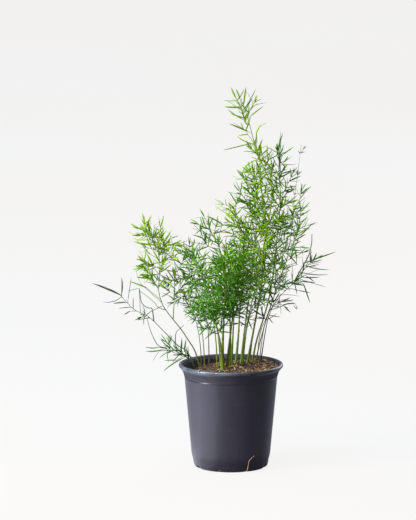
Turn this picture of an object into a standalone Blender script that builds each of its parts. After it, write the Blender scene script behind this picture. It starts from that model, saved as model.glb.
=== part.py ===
"""Foxtail fern standing in its nursery pot, as the pieces it is made of.

Units are metres and +Z is up. The origin is the middle of the pot's foot on the ground, and the
photographed side faces -Y. Each frond is one grown piece that follows a route chosen by hand: a bare
cane, then a plume of side branchlets with whorls of needle-like cladodes.
"""

import math
import random

import bmesh
import bpy
import numpy as np
from mathutils import Matrix, Vector, noise
from mathutils.bvhtree import BVHTree

GAP = 0.0003  # clearance between pieces that touch

# Pot: a thin moulded nursery pot with a rolled lip and drain holes round its foot
POT_HEIGHT = 0.165
LIP_RADIUS = 0.0825
LIP_ROLL = 0.0030
NECK_RADIUS = 0.0754
NECK_HEIGHT = 0.1505
FLARE_RADIUS = 0.0772
FLARE_HEIGHT = 0.1548
LEDGE_HEIGHT = 0.1445
LEDGE_STEP = 0.0006
WALL_TOP_RADIUS = 0.0735
KNEE_RADIUS = 0.0621
KNEE_HEIGHT = 0.020
WALL_FOOT_RADIUS = 0.0577
CORNER_RADIUS = 0.0045
KNEE_BEND = (0.0165, 0.0235)
FOOT_BOSS_RADIUS = 0.0185
FOOT_PANEL_RADIUS = 0.0370
FOOT_RING_RADIUS = 0.0430
FOOT_LIFT = 0.0030
WALL = 0.0014
POT_SIDES = 40
DRAIN_HOLES = 8
DRAIN_FIRST_DEG = 25.0
DRAIN_HALF_WIDTH = 0.0062
DRAIN_HALF_HEIGHT = 0.0036
DRAIN_TILT_DEG = 135.0

# Potting mix: a fill that is low on the left and heaped up to the rim on the right
SOIL_LEVEL = 0.1550
SOIL_SLOPE = 0.112
SOIL_MOUND = 0.0035
SOIL_MOUND_CENTRE = (0.004, 0.012)
SOIL_MOUND_SPREAD = (0.050, 0.045)
SOIL_LUMP = 0.0011
SOIL_SIDES = POT_SIDES
SOIL_RINGS = 6
SOIL_SHOULDER = 0.1330
SOIL_EDGE_RADIUS = 0.0712
SOIL_EDGE_HEIGHT = 0.1420
SOIL_EDGE_DROP = 0.003

# Canes: each stands in a socket in the potting mix and thins towards its tip
SOCKET_DEPTH = 0.009
SOCKET_RINGS = (0.004, 0.009, 0.014, 0.022)
SOCKET_SIDES = 8
CANE_STEP = 0.020
CANE_SIDES = 4
TAPER = 0.70
TAPER_POWER = 1.2

# Branchlets: they leave the stem in a spiral, leaning towards its tip, and are longest low on the plume
BRANCHLET_RADIUS = 0.00055
GOLDEN_ANGLE = math.radians(137.5)
PLUME_END = 0.97
FOOT_OF_PLUME_SHARE = 0.55
FOOT_OF_PLUME_RISE = 1.8
LEAN_AT_FOOT_DEG = 62
LEAN_AT_TIP_DEG = 40
LEAN_STRAY_DEG = 9
LENGTH_STRAY = (0.80, 1.15)
DROOP = (-0.12, 0.22)
BRANCHLET_POINTS = 5
BRANCHLET_TRIES = 14
TURN_PER_TRY = 0.7
LOSS_PER_TRY = 0.04

# Needles: they leave a short node of the stem or branchlet, up to one from each side
NODE_LENGTH = 0.0014
NEEDLE_RADIUS = 0.0005
NEEDLE_LEAN_DEG = (38, 66)
NEEDLE_STRAY = 0.25
NEEDLE_LENGTHS = (0.70, 1.10)
NEEDLE_TRIES = 5
NEEDLE_LOSS_PER_TRY = 0.12
NEEDLE_LEAST_OUTWARD = 0.35
BRANCHLET_NEEDLE_SHARE = 0.85
WHORLS_OF_LONG = (0.36, 0.68)
WHORLS_OF_SHORT = (0.50,)
LONG_FROM = 0.024

# Spaces that the growing pieces keep
CLEARANCE = 0.0005
FREE_AT_FOOT = 0.0030
CLEAR_OF_RIM = 0.0025
STRETCH = 0.010

# Green of a frond's canes and needles, from its youngest growth to its oldest
TONES = {
    "bright": (0.22, 0.40, 0.03),
    "green": (0.10, 0.27, 0.04),
    "dark": (0.05, 0.14, 0.05),
}

# One entry per frond. route: points from its foot in the potting mix to its tip. tone: its green.
# radius: the cane at its foot. leafy: the share of its length where the bare cane ends.
# branchlets: how many side branchlets it grows. reach: their length low on the plume and near its
# tip. needle: length of its cladodes.
FRONDS = {
    "frond_tall_leader": dict(
        route=[
            (0.024, 0.018, 0.146), (0.037, 0.014, 0.222), (0.048, 0.008, 0.291), (0.051, 0.002, 0.348),
            (0.061, -0.004, 0.405), (0.064, -0.006, 0.446), (0.052, -0.008, 0.478), (0.038, -0.008, 0.513),
            (0.030, -0.006, 0.543), (0.018, -0.004, 0.582), (0.0225, -0.004, 0.605),
        ],
        tone="bright", radius=0.0019, leafy=0.34, branchlets=10, reach=(0.042, 0.014), needle=0.024,
    ),
    "frond_second_leader": dict(
        route=[
            (0.032, 0.026, 0.146), (0.041, 0.025, 0.198), (0.053, 0.021, 0.238), (0.061, 0.018, 0.270),
            (0.068, 0.016, 0.314), (0.073, 0.014, 0.369), (0.078, 0.012, 0.427), (0.075, 0.010, 0.469),
            (0.077, 0.006, 0.512),
        ],
        tone="green", radius=0.0017, leafy=0.34, branchlets=9, reach=(0.040, 0.016), needle=0.022,
    ),
    "frond_far_right_wisp": dict(
        route=[
            (0.041, 0.040, 0.146), (0.046, 0.044, 0.202), (0.057, 0.050, 0.231), (0.072, 0.056, 0.273),
            (0.088, 0.062, 0.320), (0.097, 0.064, 0.375), (0.101, 0.064, 0.423), (0.106, 0.062, 0.461),
            (0.111, 0.058, 0.506),
        ],
        tone="dark", radius=0.0010, leafy=0.44, branchlets=6, reach=(0.030, 0.012), needle=0.015,
    ),
    "frond_right_shoulder": dict(
        route=[
            (0.036, 0.012, 0.146), (0.050, 0.004, 0.214), (0.066, -0.004, 0.267), (0.082, -0.012, 0.318),
            (0.096, -0.018, 0.354), (0.112, -0.022, 0.396),
        ],
        tone="green", radius=0.0014, leafy=0.42, branchlets=7, reach=(0.036, 0.018), needle=0.020,
    ),
    "frond_right_arch": dict(
        route=[
            (0.046, 0.030, 0.146), (0.054, 0.024, 0.208), (0.060, 0.014, 0.238), (0.070, 0.004, 0.262),
            (0.086, -0.006, 0.283), (0.103, -0.014, 0.299), (0.121, -0.020, 0.312), (0.140, -0.025, 0.320),
            (0.153, -0.027, 0.328), (0.165, -0.028, 0.340),
        ],
        tone="dark", radius=0.0013, leafy=0.50, branchlets=5, reach=(0.030, 0.016), needle=0.032,
    ),
    "frond_right_low": dict(
        route=[
            (0.043, 0.002, 0.146), (0.052, -0.004, 0.222), (0.064, -0.010, 0.256), (0.080, -0.018, 0.270),
            (0.096, -0.024, 0.268), (0.106, -0.028, 0.258),
        ],
        tone="dark", radius=0.0010, leafy=0.52, branchlets=4, reach=(0.024, 0.014), needle=0.023,
    ),
    "frond_upper_middle": dict(
        route=[
            (0.015, 0.024, 0.146), (0.020, 0.026, 0.199), (0.027, 0.028, 0.254), (0.034, 0.028, 0.310),
            (0.039, 0.026, 0.367), (0.042, 0.024, 0.415), (0.036, 0.020, 0.462),
        ],
        tone="green", radius=0.0016, leafy=0.36, branchlets=10, reach=(0.042, 0.018), needle=0.020,
    ),
    "frond_upper_left": dict(
        route=[
            (0.007, 0.030, 0.146), (0.012, 0.034, 0.205), (0.015, 0.038, 0.261), (0.020, 0.040, 0.317),
            (0.018, 0.038, 0.360), (0.010, 0.034, 0.393), (-0.003, 0.028, 0.418),
        ],
        tone="green", radius=0.0015, leafy=0.38, branchlets=8, reach=(0.042, 0.020), needle=0.021,
    ),
    "frond_middle_left_tip": dict(
        route=[
            (-0.003, 0.010, 0.146), (-0.001, 0.006, 0.203), (-0.003, 0.001, 0.259), (-0.009, -0.004, 0.309),
            (-0.018, -0.008, 0.350), (-0.031, -0.012, 0.375), (-0.041, -0.014, 0.389),
        ],
        tone="green", radius=0.0016, leafy=0.36, branchlets=9, reach=(0.042, 0.018), needle=0.019,
    ),
    "frond_front_bush": dict(
        route=[
            (-0.014, -0.006, 0.146), (-0.013, -0.014, 0.198), (-0.011, -0.024, 0.248),
            (-0.008, -0.038, 0.290), (-0.008, -0.054, 0.322), (-0.012, -0.070, 0.342),
        ],
        tone="bright", radius=0.0019, leafy=0.36, branchlets=8, reach=(0.042, 0.020), needle=0.018,
    ),
    "frond_front_bush_right": dict(
        route=[
            (-0.007, -0.002, 0.146), (-0.002, -0.009, 0.204), (0.004, -0.019, 0.252), (0.010, -0.032, 0.298),
            (0.016, -0.048, 0.334), (0.020, -0.064, 0.358),
        ],
        tone="bright", radius=0.0017, leafy=0.36, branchlets=8, reach=(0.040, 0.018), needle=0.018,
    ),
    "frond_centre_left_arch": dict(
        route=[
            (-0.021, 0.002, 0.146), (-0.024, -0.004, 0.204), (-0.030, -0.008, 0.246), (-0.038, -0.014, 0.284),
            (-0.048, -0.020, 0.318), (-0.058, -0.024, 0.342), (-0.066, -0.026, 0.356),
        ],
        tone="green", radius=0.0014, leafy=0.38, branchlets=8, reach=(0.036, 0.016), needle=0.018,
    ),
    "frond_left_plume": dict(
        route=[
            (-0.048, 0.038, 0.146), (-0.056, 0.032, 0.176), (-0.069, 0.024, 0.200), (-0.080, 0.016, 0.218),
            (-0.093, 0.007, 0.236), (-0.107, -0.003, 0.258), (-0.114, -0.011, 0.284), (-0.112, -0.017, 0.312),
            (-0.113, -0.022, 0.338), (-0.122, -0.028, 0.366), (-0.138, -0.034, 0.386),
        ],
        tone="bright", radius=0.0013, leafy=0.50, branchlets=9, reach=(0.036, 0.018), needle=0.019,
    ),
    "frond_left_middle": dict(
        route=[
            (-0.041, 0.032, 0.146), (-0.044, 0.031, 0.196), (-0.050, 0.029, 0.227), (-0.064, 0.022, 0.255),
            (-0.077, 0.014, 0.287), (-0.087, 0.006, 0.318), (-0.094, 0.000, 0.345),
        ],
        tone="green", radius=0.0011, leafy=0.42, branchlets=7, reach=(0.034, 0.018), needle=0.018,
    ),
    "frond_far_left_wisp": dict(
        route=[
            (-0.053, 0.027, 0.146), (-0.068, 0.021, 0.178), (-0.084, 0.014, 0.191), (-0.104, 0.006, 0.213),
            (-0.130, -0.002, 0.240), (-0.151, -0.006, 0.251), (-0.164, -0.008, 0.264),
            (-0.178, -0.010, 0.279), (-0.196, -0.010, 0.288), (-0.210, -0.010, 0.293),
            (-0.2195, -0.010, 0.2965),
        ],
        tone="dark", radius=0.0009, leafy=0.60, branchlets=4, reach=(0.022, 0.012), needle=0.020,
    ),
    "frond_low_left": dict(
        route=[
            (-0.042, 0.012, 0.146), (-0.051, 0.010, 0.165), (-0.068, 0.006, 0.176), (-0.084, 0.001, 0.180),
            (-0.097, -0.004, 0.186), (-0.106, -0.008, 0.196),
        ],
        tone="green", radius=0.0009, leafy=0.48, branchlets=3, reach=(0.022, 0.014), needle=0.020,
    ),
    "frond_left_bare": dict(
        route=[
            (-0.046, 0.021, 0.146), (-0.048, 0.017, 0.186), (-0.053, 0.012, 0.221), (-0.059, 0.007, 0.242),
            (-0.071, 0.001, 0.263), (-0.086, -0.006, 0.276), (-0.102, -0.012, 0.284),
        ],
        tone="dark", radius=0.0009, leafy=0.54, branchlets=5, reach=(0.026, 0.014), needle=0.018,
    ),
    "frond_left_back": dict(
        route=[
            (-0.034, 0.038, 0.146), (-0.036, 0.040, 0.211), (-0.040, 0.042, 0.232), (-0.049, 0.044, 0.260),
            (-0.061, 0.046, 0.291), (-0.070, 0.046, 0.318),
        ],
        tone="dark", radius=0.0011, leafy=0.46, branchlets=7, reach=(0.034, 0.018), needle=0.017,
    ),
    "frond_centre_back": dict(
        route=[
            (0.000, 0.038, 0.146), (0.003, 0.047, 0.196), (0.005, 0.057, 0.236), (0.003, 0.068, 0.274),
            (-0.002, 0.080, 0.312), (-0.010, 0.092, 0.338),
        ],
        tone="dark", radius=0.0014, leafy=0.38, branchlets=7, reach=(0.040, 0.020), needle=0.018,
    ),
    "frond_right_back": dict(
        route=[
            (0.029, 0.038, 0.146), (0.035, 0.046, 0.204), (0.042, 0.054, 0.240), (0.052, 0.062, 0.276),
            (0.067, 0.070, 0.319), (0.081, 0.076, 0.358), (0.092, 0.078, 0.397),
        ],
        tone="green", radius=0.0014, leafy=0.38, branchlets=8, reach=(0.038, 0.018), needle=0.018,
    ),
    "frond_front_right_arch": dict(
        route=[
            (0.017, 0.004, 0.146), (0.022, -0.008, 0.202), (0.027, -0.020, 0.240), (0.034, -0.037, 0.274),
            (0.042, -0.056, 0.300), (0.050, -0.076, 0.316),
        ],
        tone="bright", radius=0.0015, leafy=0.40, branchlets=7, reach=(0.038, 0.018), needle=0.019,
    ),
    "frond_back_left_arch": dict(
        route=[
            (-0.016, 0.032, 0.146), (-0.020, 0.046, 0.200), (-0.028, 0.062, 0.246), (-0.040, 0.080, 0.284),
            (-0.054, 0.096, 0.310), (-0.068, 0.110, 0.326),
        ],
        tone="dark", radius=0.0013, leafy=0.40, branchlets=7, reach=(0.036, 0.018), needle=0.018,
    ),
    "frond_back_right_low": dict(
        route=[
            (0.018, 0.040, 0.146), (0.023, 0.055, 0.196), (0.033, 0.075, 0.236), (0.046, 0.096, 0.264),
            (0.060, 0.112, 0.280),
        ],
        tone="dark", radius=0.0012, leafy=0.42, branchlets=6, reach=(0.034, 0.018), needle=0.018,
    ),
    "frond_front_left_low": dict(
        route=[
            (-0.011, -0.012, 0.146), (-0.016, -0.023, 0.196), (-0.024, -0.039, 0.234),
            (-0.035, -0.057, 0.262), (-0.047, -0.074, 0.280),
        ],
        tone="green", radius=0.0014, leafy=0.42, branchlets=6, reach=(0.034, 0.018), needle=0.018,
    ),
}

# Loose pieces on the potting mix: where each lies, its half sizes and its turn
BARK_CHIPS = {
    "bark_chip_01": ((0.021, -0.030), (0.0048, 0.0028, 0.0016), 20.0),
    "bark_chip_02": ((0.047, -0.026), (0.0040, 0.0024, 0.0015), -35.0),
    "bark_chip_03": ((-0.030, -0.022), (0.0044, 0.0022, 0.0014), 60.0),
    "bark_chip_04": ((0.056, 0.004), (0.0036, 0.0026, 0.0015), 10.0),
}
PERLITE_GRAINS = {
    "perlite_grain_01": ((0.034, -0.044), (0.0023, 0.0020, 0.0017), 0.0),
    "perlite_grain_02": ((0.061, -0.016), (0.0021, 0.0018, 0.0015), 40.0),
    "perlite_grain_03": ((-0.022, -0.046), (0.0019, 0.0017, 0.0014), 15.0),
    "perlite_grain_04": ((0.052, 0.022), (0.0021, 0.0019, 0.0015), 75.0),
}

CHIP_BEVEL = 0.35  # of half its size
ROUGHNESS = (0.88, 1.0)
DROP_HEIGHT = 0.02

# Root that has grown out of a drain hole and up the wall: turn in degrees, radius and height
DRAIN_ROOT_ROUTE = [
    (-65.0, 0.0566, 0.0026), (-65.0, 0.0580, 0.0018), (-64.6, 0.0594, 0.0028), (-64.0, 0.0601, 0.0070),
    (-63.4, 0.0615, 0.0130), (-63.0, 0.0630, 0.0185), (-60.0, 0.0638, 0.0230), (-55.5, 0.0642, 0.0262),
]
DRAIN_ROOT_RADIUS = 0.0009

ROOT_SIDES = 5
ROOT_STEPS = 10

# Root that lies bare on the potting mix behind the front of the lip
SURFACE_ROOT_ROUTE = [
    (-0.024, -0.014), (-0.019, -0.010), (-0.013, -0.012), (-0.007, -0.009), (-0.002, -0.004),
]
SURFACE_ROOT_RADIUS = 0.0008


def clear_scene():
    for old in list(bpy.data.objects):
        bpy.data.objects.remove(old)


def material(name, colour, roughness, metallic=0.0):
    made = bpy.data.materials.new(name)
    made.use_nodes = True
    shader = made.node_tree.nodes["Principled BSDF"]
    shader.inputs["Base Color"].default_value = (*colour, 1.0)
    shader.inputs["Roughness"].default_value = roughness
    shader.inputs["Metallic"].default_value = metallic
    return made


def add_object(name, bm, finish=None, smooth_angle=None):
    mesh = bpy.data.meshes.new(name)
    bm.to_mesh(mesh)
    bm.free()
    if smooth_angle is not None:
        mesh.shade_smooth()
        mesh.set_sharp_from_angle(angle=math.radians(smooth_angle))
    made = bpy.data.objects.new(name, mesh)
    bpy.context.scene.collection.objects.link(made)
    if finish:
        mesh.materials.append(finish)
    return made


def add_cutter(name, bm):
    made = add_object(name, bm)
    made.hide_render = True
    made.display_type = "WIRE"
    return made


def cut(target, cutter):
    modifier = target.modifiers.new("cut_" + cutter.name, "BOOLEAN")
    modifier.operation = "DIFFERENCE"
    modifier.solver = "EXACT"
    modifier.object = cutter


def arc(centre, radius, start_deg, end_deg, steps):
    """Points (r, z) along an arc, both ends included."""
    found = []
    for i in range(steps + 1):
        angle = math.radians(start_deg + (end_deg - start_deg) * i / steps)
        found.append((centre[0] + radius * math.cos(angle), centre[1] + radius * math.sin(angle)))
    return found


def spun(profile, sides):
    """A line of (r, z) points, from the axis back to the axis, turned round Z into a closed bmesh."""
    bm = bmesh.new()
    line = [bm.verts.new((r, 0, z)) for r, z in profile]
    edges = [bm.edges.new(pair) for pair in zip(line, line[1:])]
    bmesh.ops.spin(
        bm, geom=line + edges, cent=(0, 0, 0), axis=(0, 0, 1), angle=2 * math.pi, steps=sides, use_merge=True
    )
    bmesh.ops.remove_doubles(bm, verts=bm.verts, dist=1e-6)
    bmesh.ops.recalc_face_normals(bm, faces=bm.faces)
    return bm


def wall_radius(z):
    """Radius of the pot's outer wall at a height: it tapers more steeply below the knee."""
    if z < KNEE_HEIGHT:
        share = (z - CORNER_RADIUS) / (KNEE_HEIGHT - CORNER_RADIUS)
        return WALL_FOOT_RADIUS + share * (KNEE_RADIUS - WALL_FOOT_RADIUS)
    share = (z - KNEE_HEIGHT) / (LEDGE_HEIGHT - KNEE_HEIGHT)
    return KNEE_RADIUS + share * (WALL_TOP_RADIUS - KNEE_RADIUS)


def corner_centre():
    """Where the rounded corner of the foot has its centre, as (r, z)."""
    return (WALL_FOOT_RADIUS - CORNER_RADIUS, CORNER_RADIUS)


def pot_profile():
    """The pot's section: out along the foot, up the wall, over the rolled lip and down the inside."""
    roll = (LIP_RADIUS - LIP_ROLL, POT_HEIGHT - LIP_ROLL)
    outside = [(0.0, 0.0), (FOOT_BOSS_RADIUS, 0.0), (FOOT_BOSS_RADIUS + FOOT_LIFT, FOOT_LIFT)]
    outside += [(FOOT_PANEL_RADIUS, FOOT_LIFT), (FOOT_RING_RADIUS, 0.0)]
    outside += arc(corner_centre(), CORNER_RADIUS, -90, -10, 5)
    outside += [(wall_radius(z), z) for z in KNEE_BEND]
    outside += [(WALL_TOP_RADIUS, LEDGE_HEIGHT), (WALL_TOP_RADIUS + LEDGE_STEP, LEDGE_HEIGHT + LEDGE_STEP)]
    outside += [(NECK_RADIUS, NECK_HEIGHT), (FLARE_RADIUS, FLARE_HEIGHT)]
    lip = arc(roll, LIP_ROLL, -60, 165, 7)
    inside = [(FLARE_RADIUS - WALL, FLARE_HEIGHT + WALL), (NECK_RADIUS - WALL, NECK_HEIGHT)]
    inside += [(WALL_TOP_RADIUS - WALL, LEDGE_HEIGHT)]
    inside += [(wall_radius(z) - WALL, z) for z in reversed(KNEE_BEND)]
    inside += arc(corner_centre(), CORNER_RADIUS - WALL, -10, -80, 4)
    inside += [(FOOT_RING_RADIUS + WALL / 2, WALL), (FOOT_PANEL_RADIUS + WALL / 2, FOOT_LIFT + WALL)]
    inside += [(FOOT_BOSS_RADIUS + FOOT_LIFT - WALL / 2, FOOT_LIFT + WALL)]
    inside += [(FOOT_BOSS_RADIUS - WALL / 2, WALL), (0.0, WALL)]
    return outside + lip + inside


def drain_cutter():
    """Oval plugs through the rounded corner of the foot, all in one cutter."""
    bm = bmesh.new()
    lean = math.radians(DRAIN_TILT_DEG)
    centre_r = corner_centre()[0] + (CORNER_RADIUS - WALL / 2) * math.sin(lean)
    centre_z = corner_centre()[1] + (CORNER_RADIUS - WALL / 2) * math.cos(lean)
    for i in range(DRAIN_HOLES):
        turn = math.radians(DRAIN_FIRST_DEG + 360.0 * i / DRAIN_HOLES - 90.0)
        place = Matrix.Rotation(turn, 4, "Z") @ Matrix.Translation((centre_r, 0, centre_z))
        place = place @ Matrix.Rotation(lean, 4, "Y")
        place = place @ Matrix.Diagonal((DRAIN_HALF_HEIGHT, DRAIN_HALF_WIDTH, 1, 1))
        bmesh.ops.create_cone(
            bm, cap_ends=True, segments=12, radius1=1.0, radius2=1.0, depth=0.010, matrix=place
        )
    return add_cutter("drain_hole_cutter", bm)


def build_pot():
    finish = material("black_polypropylene", (0.035, 0.034, 0.042), 0.42)
    pot = add_object("nursery_pot", spun(pot_profile(), POT_SIDES), finish, smooth_angle=35)
    cut(pot, drain_cutter())


def soil_height(x, y):
    """Height of the potting mix at a place: a slope, a low mound under the canes and small lumps."""
    aside = (x - SOIL_MOUND_CENTRE[0]) / SOIL_MOUND_SPREAD[0]
    away = (y - SOIL_MOUND_CENTRE[1]) / SOIL_MOUND_SPREAD[1]
    lumps = noise.noise(Vector((x, y, 0.0)) * 110.0) + 0.5 * noise.noise(Vector((x, y, 0.002)) * 260.0)
    mound = SOIL_MOUND * math.exp(-aside * aside - away * away)
    return SOIL_LEVEL + SOIL_SLOPE * x + mound + SOIL_LUMP * lumps


def soil_bmesh():
    """The potting mix: it fills the pot with GAP to spare, and its top carries the slope and lumps."""
    inset = WALL + GAP
    spare = WALL / 2 + GAP
    profile = [(0.0, inset), (FOOT_BOSS_RADIUS - spare, inset)]
    profile += [(FOOT_BOSS_RADIUS + FOOT_LIFT - spare, FOOT_LIFT + inset)]
    profile += [(FOOT_PANEL_RADIUS + spare, FOOT_LIFT + inset), (FOOT_RING_RADIUS + spare, inset)]
    profile += arc(corner_centre(), CORNER_RADIUS - inset, -80, -10, 4)
    profile += [(wall_radius(z) - inset, z) for z in KNEE_BEND]
    profile += [(wall_radius(SOIL_SHOULDER) - inset, SOIL_SHOULDER), (SOIL_EDGE_RADIUS, SOIL_EDGE_HEIGHT)]
    for i in range(SOIL_RINGS):
        profile.append((SOIL_EDGE_RADIUS * (1.0 - i / SOIL_RINGS), SOIL_LEVEL))
    profile.append((0.0, SOIL_LEVEL))
    bm = spun(profile, SOIL_SIDES)
    for v in bm.verts:
        if v.co.z > SOIL_LEVEL - GAP:
            drop = SOIL_EDGE_DROP if v.co.xy.length > SOIL_EDGE_RADIUS - GAP else 0.0
            v.co.z = soil_height(v.co.x, v.co.y) - drop
    bmesh.ops.triangulate(bm, faces=bm.faces)
    return bm


def chip_bmesh(half, seed):
    """A splinter of bark: a block with broken corners."""
    draw = random.Random(seed)
    bm = bmesh.new()
    bmesh.ops.create_cube(bm, size=2.0)
    bmesh.ops.bevel(
        bm, geom=list(bm.edges), offset=CHIP_BEVEL, offset_type="OFFSET", segments=1, profile=0.5,
        affect="EDGES", material=-1,
    )
    for v in bm.verts:
        v.co = Vector(v.co[k] * half[k] * draw.uniform(*ROUGHNESS) for k in range(3))
    return bm


def grain_bmesh(half, seed):
    """A puffed, rounded grain."""
    draw = random.Random(seed)
    bm = bmesh.new()
    bmesh.ops.create_icosphere(bm, subdivisions=2, radius=1.0)
    for v in bm.verts:
        v.co = Vector(v.co[k] * half[k] * draw.uniform(*ROUGHNESS) for k in range(3))
    return bm


def seat(bm, place, turn_deg, ground):
    """Turns a loose piece, stands it over its place and lowers it until it is GAP above the ground."""
    bmesh.ops.transform(bm, matrix=Matrix.Rotation(math.radians(turn_deg), 4, "Z"), verts=bm.verts)
    bmesh.ops.translate(bm, vec=(place[0], place[1], POT_HEIGHT + DROP_HEIGHT), verts=bm.verts)
    drops = []
    for v in bm.verts:
        drops.append(ground.ray_cast(v.co, Vector((0, 0, -1)))[3])
    bmesh.ops.translate(bm, vec=(0, 0, GAP * 1.5 - min(drops)), verts=bm.verts)


def build_loose_pieces(ground):
    bark = material("bark", (0.26, 0.15, 0.08), 0.9)
    perlite = material("perlite", (0.72, 0.68, 0.58), 0.85)
    for number, (name, (place, half, turn)) in enumerate(BARK_CHIPS.items()):
        bm = chip_bmesh(half, 40 + number)
        seat(bm, place, turn, ground)
        add_object(name, bm, bark)
    for number, (name, (place, half, turn)) in enumerate(PERLITE_GRAINS.items()):
        bm = grain_bmesh(half, 60 + number)
        seat(bm, place, turn, ground)
        add_object(name, bm, perlite, smooth_angle=60)


def catmull_rom(points, position):
    """A point on the smooth curve through the points, at a position from 0 to their count less one."""
    i = min(int(position), len(points) - 2)
    t = position - i
    before = points[i - 1] if i > 0 else points[0] * 2 - points[1]
    after = points[i + 2] if i + 2 < len(points) else points[-1] * 2 - points[-2]
    a, b = points[i], points[i + 1]
    cubic = 3 * a - before - 3 * b + after
    square = 2 * before - 5 * a + 4 * b - after
    return 0.5 * (2 * a + (b - before) * t + square * t * t + cubic * t ** 3)


class Line:
    """A smooth line through points, read by distance along it."""

    def __init__(self, points, fine=12):
        points = [Vector(p) for p in points]
        steps = fine * (len(points) - 1)
        self.points = [catmull_rom(points, i / fine) for i in range(steps + 1)]
        self.marks = [0.0]
        for a, b in zip(self.points, self.points[1:]):
            self.marks.append(self.marks[-1] + (b - a).length)
        self.length = self.marks[-1]

    def at(self, distance):
        distance = min(max(distance, 0.0), self.length)
        i = int(np.searchsorted(self.marks, distance, side="right")) - 1
        i = min(i, len(self.points) - 2)
        share = (distance - self.marks[i]) / (self.marks[i + 1] - self.marks[i])
        return self.points[i].lerp(self.points[i + 1], share)

    def way(self, distance):
        step = 0.0015
        return (self.at(distance + step) - self.at(distance - step)).normalized()


def across(way):
    """Two unit vectors square to a direction and to each other."""
    side = way.cross(Vector((0.0, 0.0, 1.0)))
    if side.length < 0.2:
        side = way.cross(Vector((0.0, 1.0, 0.0)))
    side.normalize()
    return side, way.cross(side)


def stretch_distances(p, q, a, b):
    """Shortest distances from the stretch p-q to each of the stretches a-b."""
    d1, d2, r = q - p, b - a, p - a
    along = float(d1 @ d1)
    others = np.einsum("ij,ij->i", d2, d2)
    cross = d2 @ d1
    c, f = r @ d1, np.einsum("ij,ij->i", d2, r)
    spread = np.maximum(along * others - cross * cross, 1e-18)
    s = np.clip((cross * f - c * others) / spread, 0, 1)
    t = np.clip((cross * s + f) / others, 0, 1)
    s = np.clip((cross * t - c) / along, 0, 1)
    return np.linalg.norm((p + s[:, None] * d1) - (a + t[:, None] * d2), axis=1)


class Thicket:
    """Every stretch of stem or needle that has its place, so that the next one keeps clear of them."""

    def __init__(self, room=20000):
        self.count = 0
        self.start = np.zeros((room, 3))
        self.end = np.zeros((room, 3))
        self.radius = np.zeros(room)
        self.frond = np.zeros(room, dtype=int)

    def add(self, start, end, radius, frond):
        self.start[self.count] = start
        self.end[self.count] = end
        self.radius[self.count] = radius
        self.frond[self.count] = frond
        self.count += 1

    def is_clear(self, start, end, radius, leave_out=None):
        """True if the stretch keeps CLEARANCE from all the others, without those of one frond."""
        n = self.count
        p, q = np.array(start), np.array(end)
        a, b, r = self.start[:n], self.end[:n], self.radius[:n]
        reach = (r + radius + CLEARANCE)[:, None]
        near = np.all(np.minimum(a, b) - reach < np.maximum(p, q), axis=1)
        near &= np.all(np.maximum(a, b) + reach > np.minimum(p, q), axis=1)
        if leave_out is not None:
            near &= self.frond[:n] != leave_out
        if not near.any():
            return True
        gaps = stretch_distances(p, q, a[near], b[near])
        return bool(np.all(gaps > r[near] + radius + CLEARANCE))

    def sprout_is_clear(self, start, end, radius, frond):
        """The same for a stretch that sprouts from its own frond, which it touches where it starts."""
        whole = end - start
        later = start + whole.normalized() * min(FREE_AT_FOOT, whole.length / 2)
        return self.is_clear(start, end, radius, frond) and self.is_clear(later, end, radius)


def clear_of_pot(*points):
    """True where every point is above the lip, or well outside it."""
    outside = LIP_RADIUS + CLEAR_OF_RIM
    above = POT_HEIGHT + CLEAR_OF_RIM
    return all(p.z > above or (p.xy.length > outside and p.z > CLEAR_OF_RIM) for p in points)


def stem_radius(frond, share):
    """Radius of a frond's stem at a share of its length."""
    return frond["radius"] * (1.0 - TAPER * share ** TAPER_POWER)


def frond_line(frond):
    """The smooth line of a frond, with its foot SOCKET_DEPTH below the top of the potting mix."""
    points = list(frond["route"])
    x, y, _ = points[0]
    points[0] = (x, y, soil_height(x, y) - SOCKET_DEPTH)
    return Line(points)


def branchlet_points(start, leave, length, droop):
    """A side branchlet: it leaves along one direction, then bends a little under its own weight."""
    found = []
    for i in range(BRANCHLET_POINTS):
        share = i / (BRANCHLET_POINTS - 1)
        found.append(start + leave * (length * share) + Vector((0, 0, -droop * length * share * share)))
    return found


def lay_out_branchlet(frond, number, line, k, draw, thicket):
    """One side branchlet that keeps clear of what is already there, or None where no way is free."""
    share = frond["leafy"] + (PLUME_END - frond["leafy"]) * (k + 1 / 3) / frond["branchlets"]
    distance = line.length * share
    way = line.way(distance)
    side, up = across(way)
    climb = (share - frond["leafy"]) / (1 - frond["leafy"])
    low, high = frond["reach"]
    rise = min(1.0, FOOT_OF_PLUME_SHARE + FOOT_OF_PLUME_RISE * climb)
    length = (low + (high - low) * climb) * rise * draw.uniform(*LENGTH_STRAY)
    lean = LEAN_AT_FOOT_DEG + (LEAN_AT_TIP_DEG - LEAN_AT_FOOT_DEG) * climb
    lean = math.radians(lean + draw.uniform(-LEAN_STRAY_DEG, LEAN_STRAY_DEG))
    droop = draw.uniform(*DROOP)
    for attempt in range(BRANCHLET_TRIES):
        turn = GOLDEN_ANGLE * k + number + TURN_PER_TRY * ((attempt + 1) // 2) * (-1) ** attempt
        out = side * math.cos(turn) + up * math.sin(turn)
        leave = way * math.cos(lean) + out * math.sin(lean)
        start = line.at(distance) + out * stem_radius(frond, share)
        points = branchlet_points(start, leave, length * (1.0 - LOSS_PER_TRY * attempt), droop)
        pairs = list(zip(points, points[1:]))
        free = thicket.sprout_is_clear(*pairs[0], BRANCHLET_RADIUS, number)
        free = free and all(thicket.is_clear(a, b, BRANCHLET_RADIUS) for a, b in pairs[1:])
        if free and clear_of_pot(*points):
            for a, b in pairs:
                thicket.add(a, b, BRANCHLET_RADIUS, number)
            return dict(distance=distance, share=share, out=out, points=points)
    return None


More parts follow.
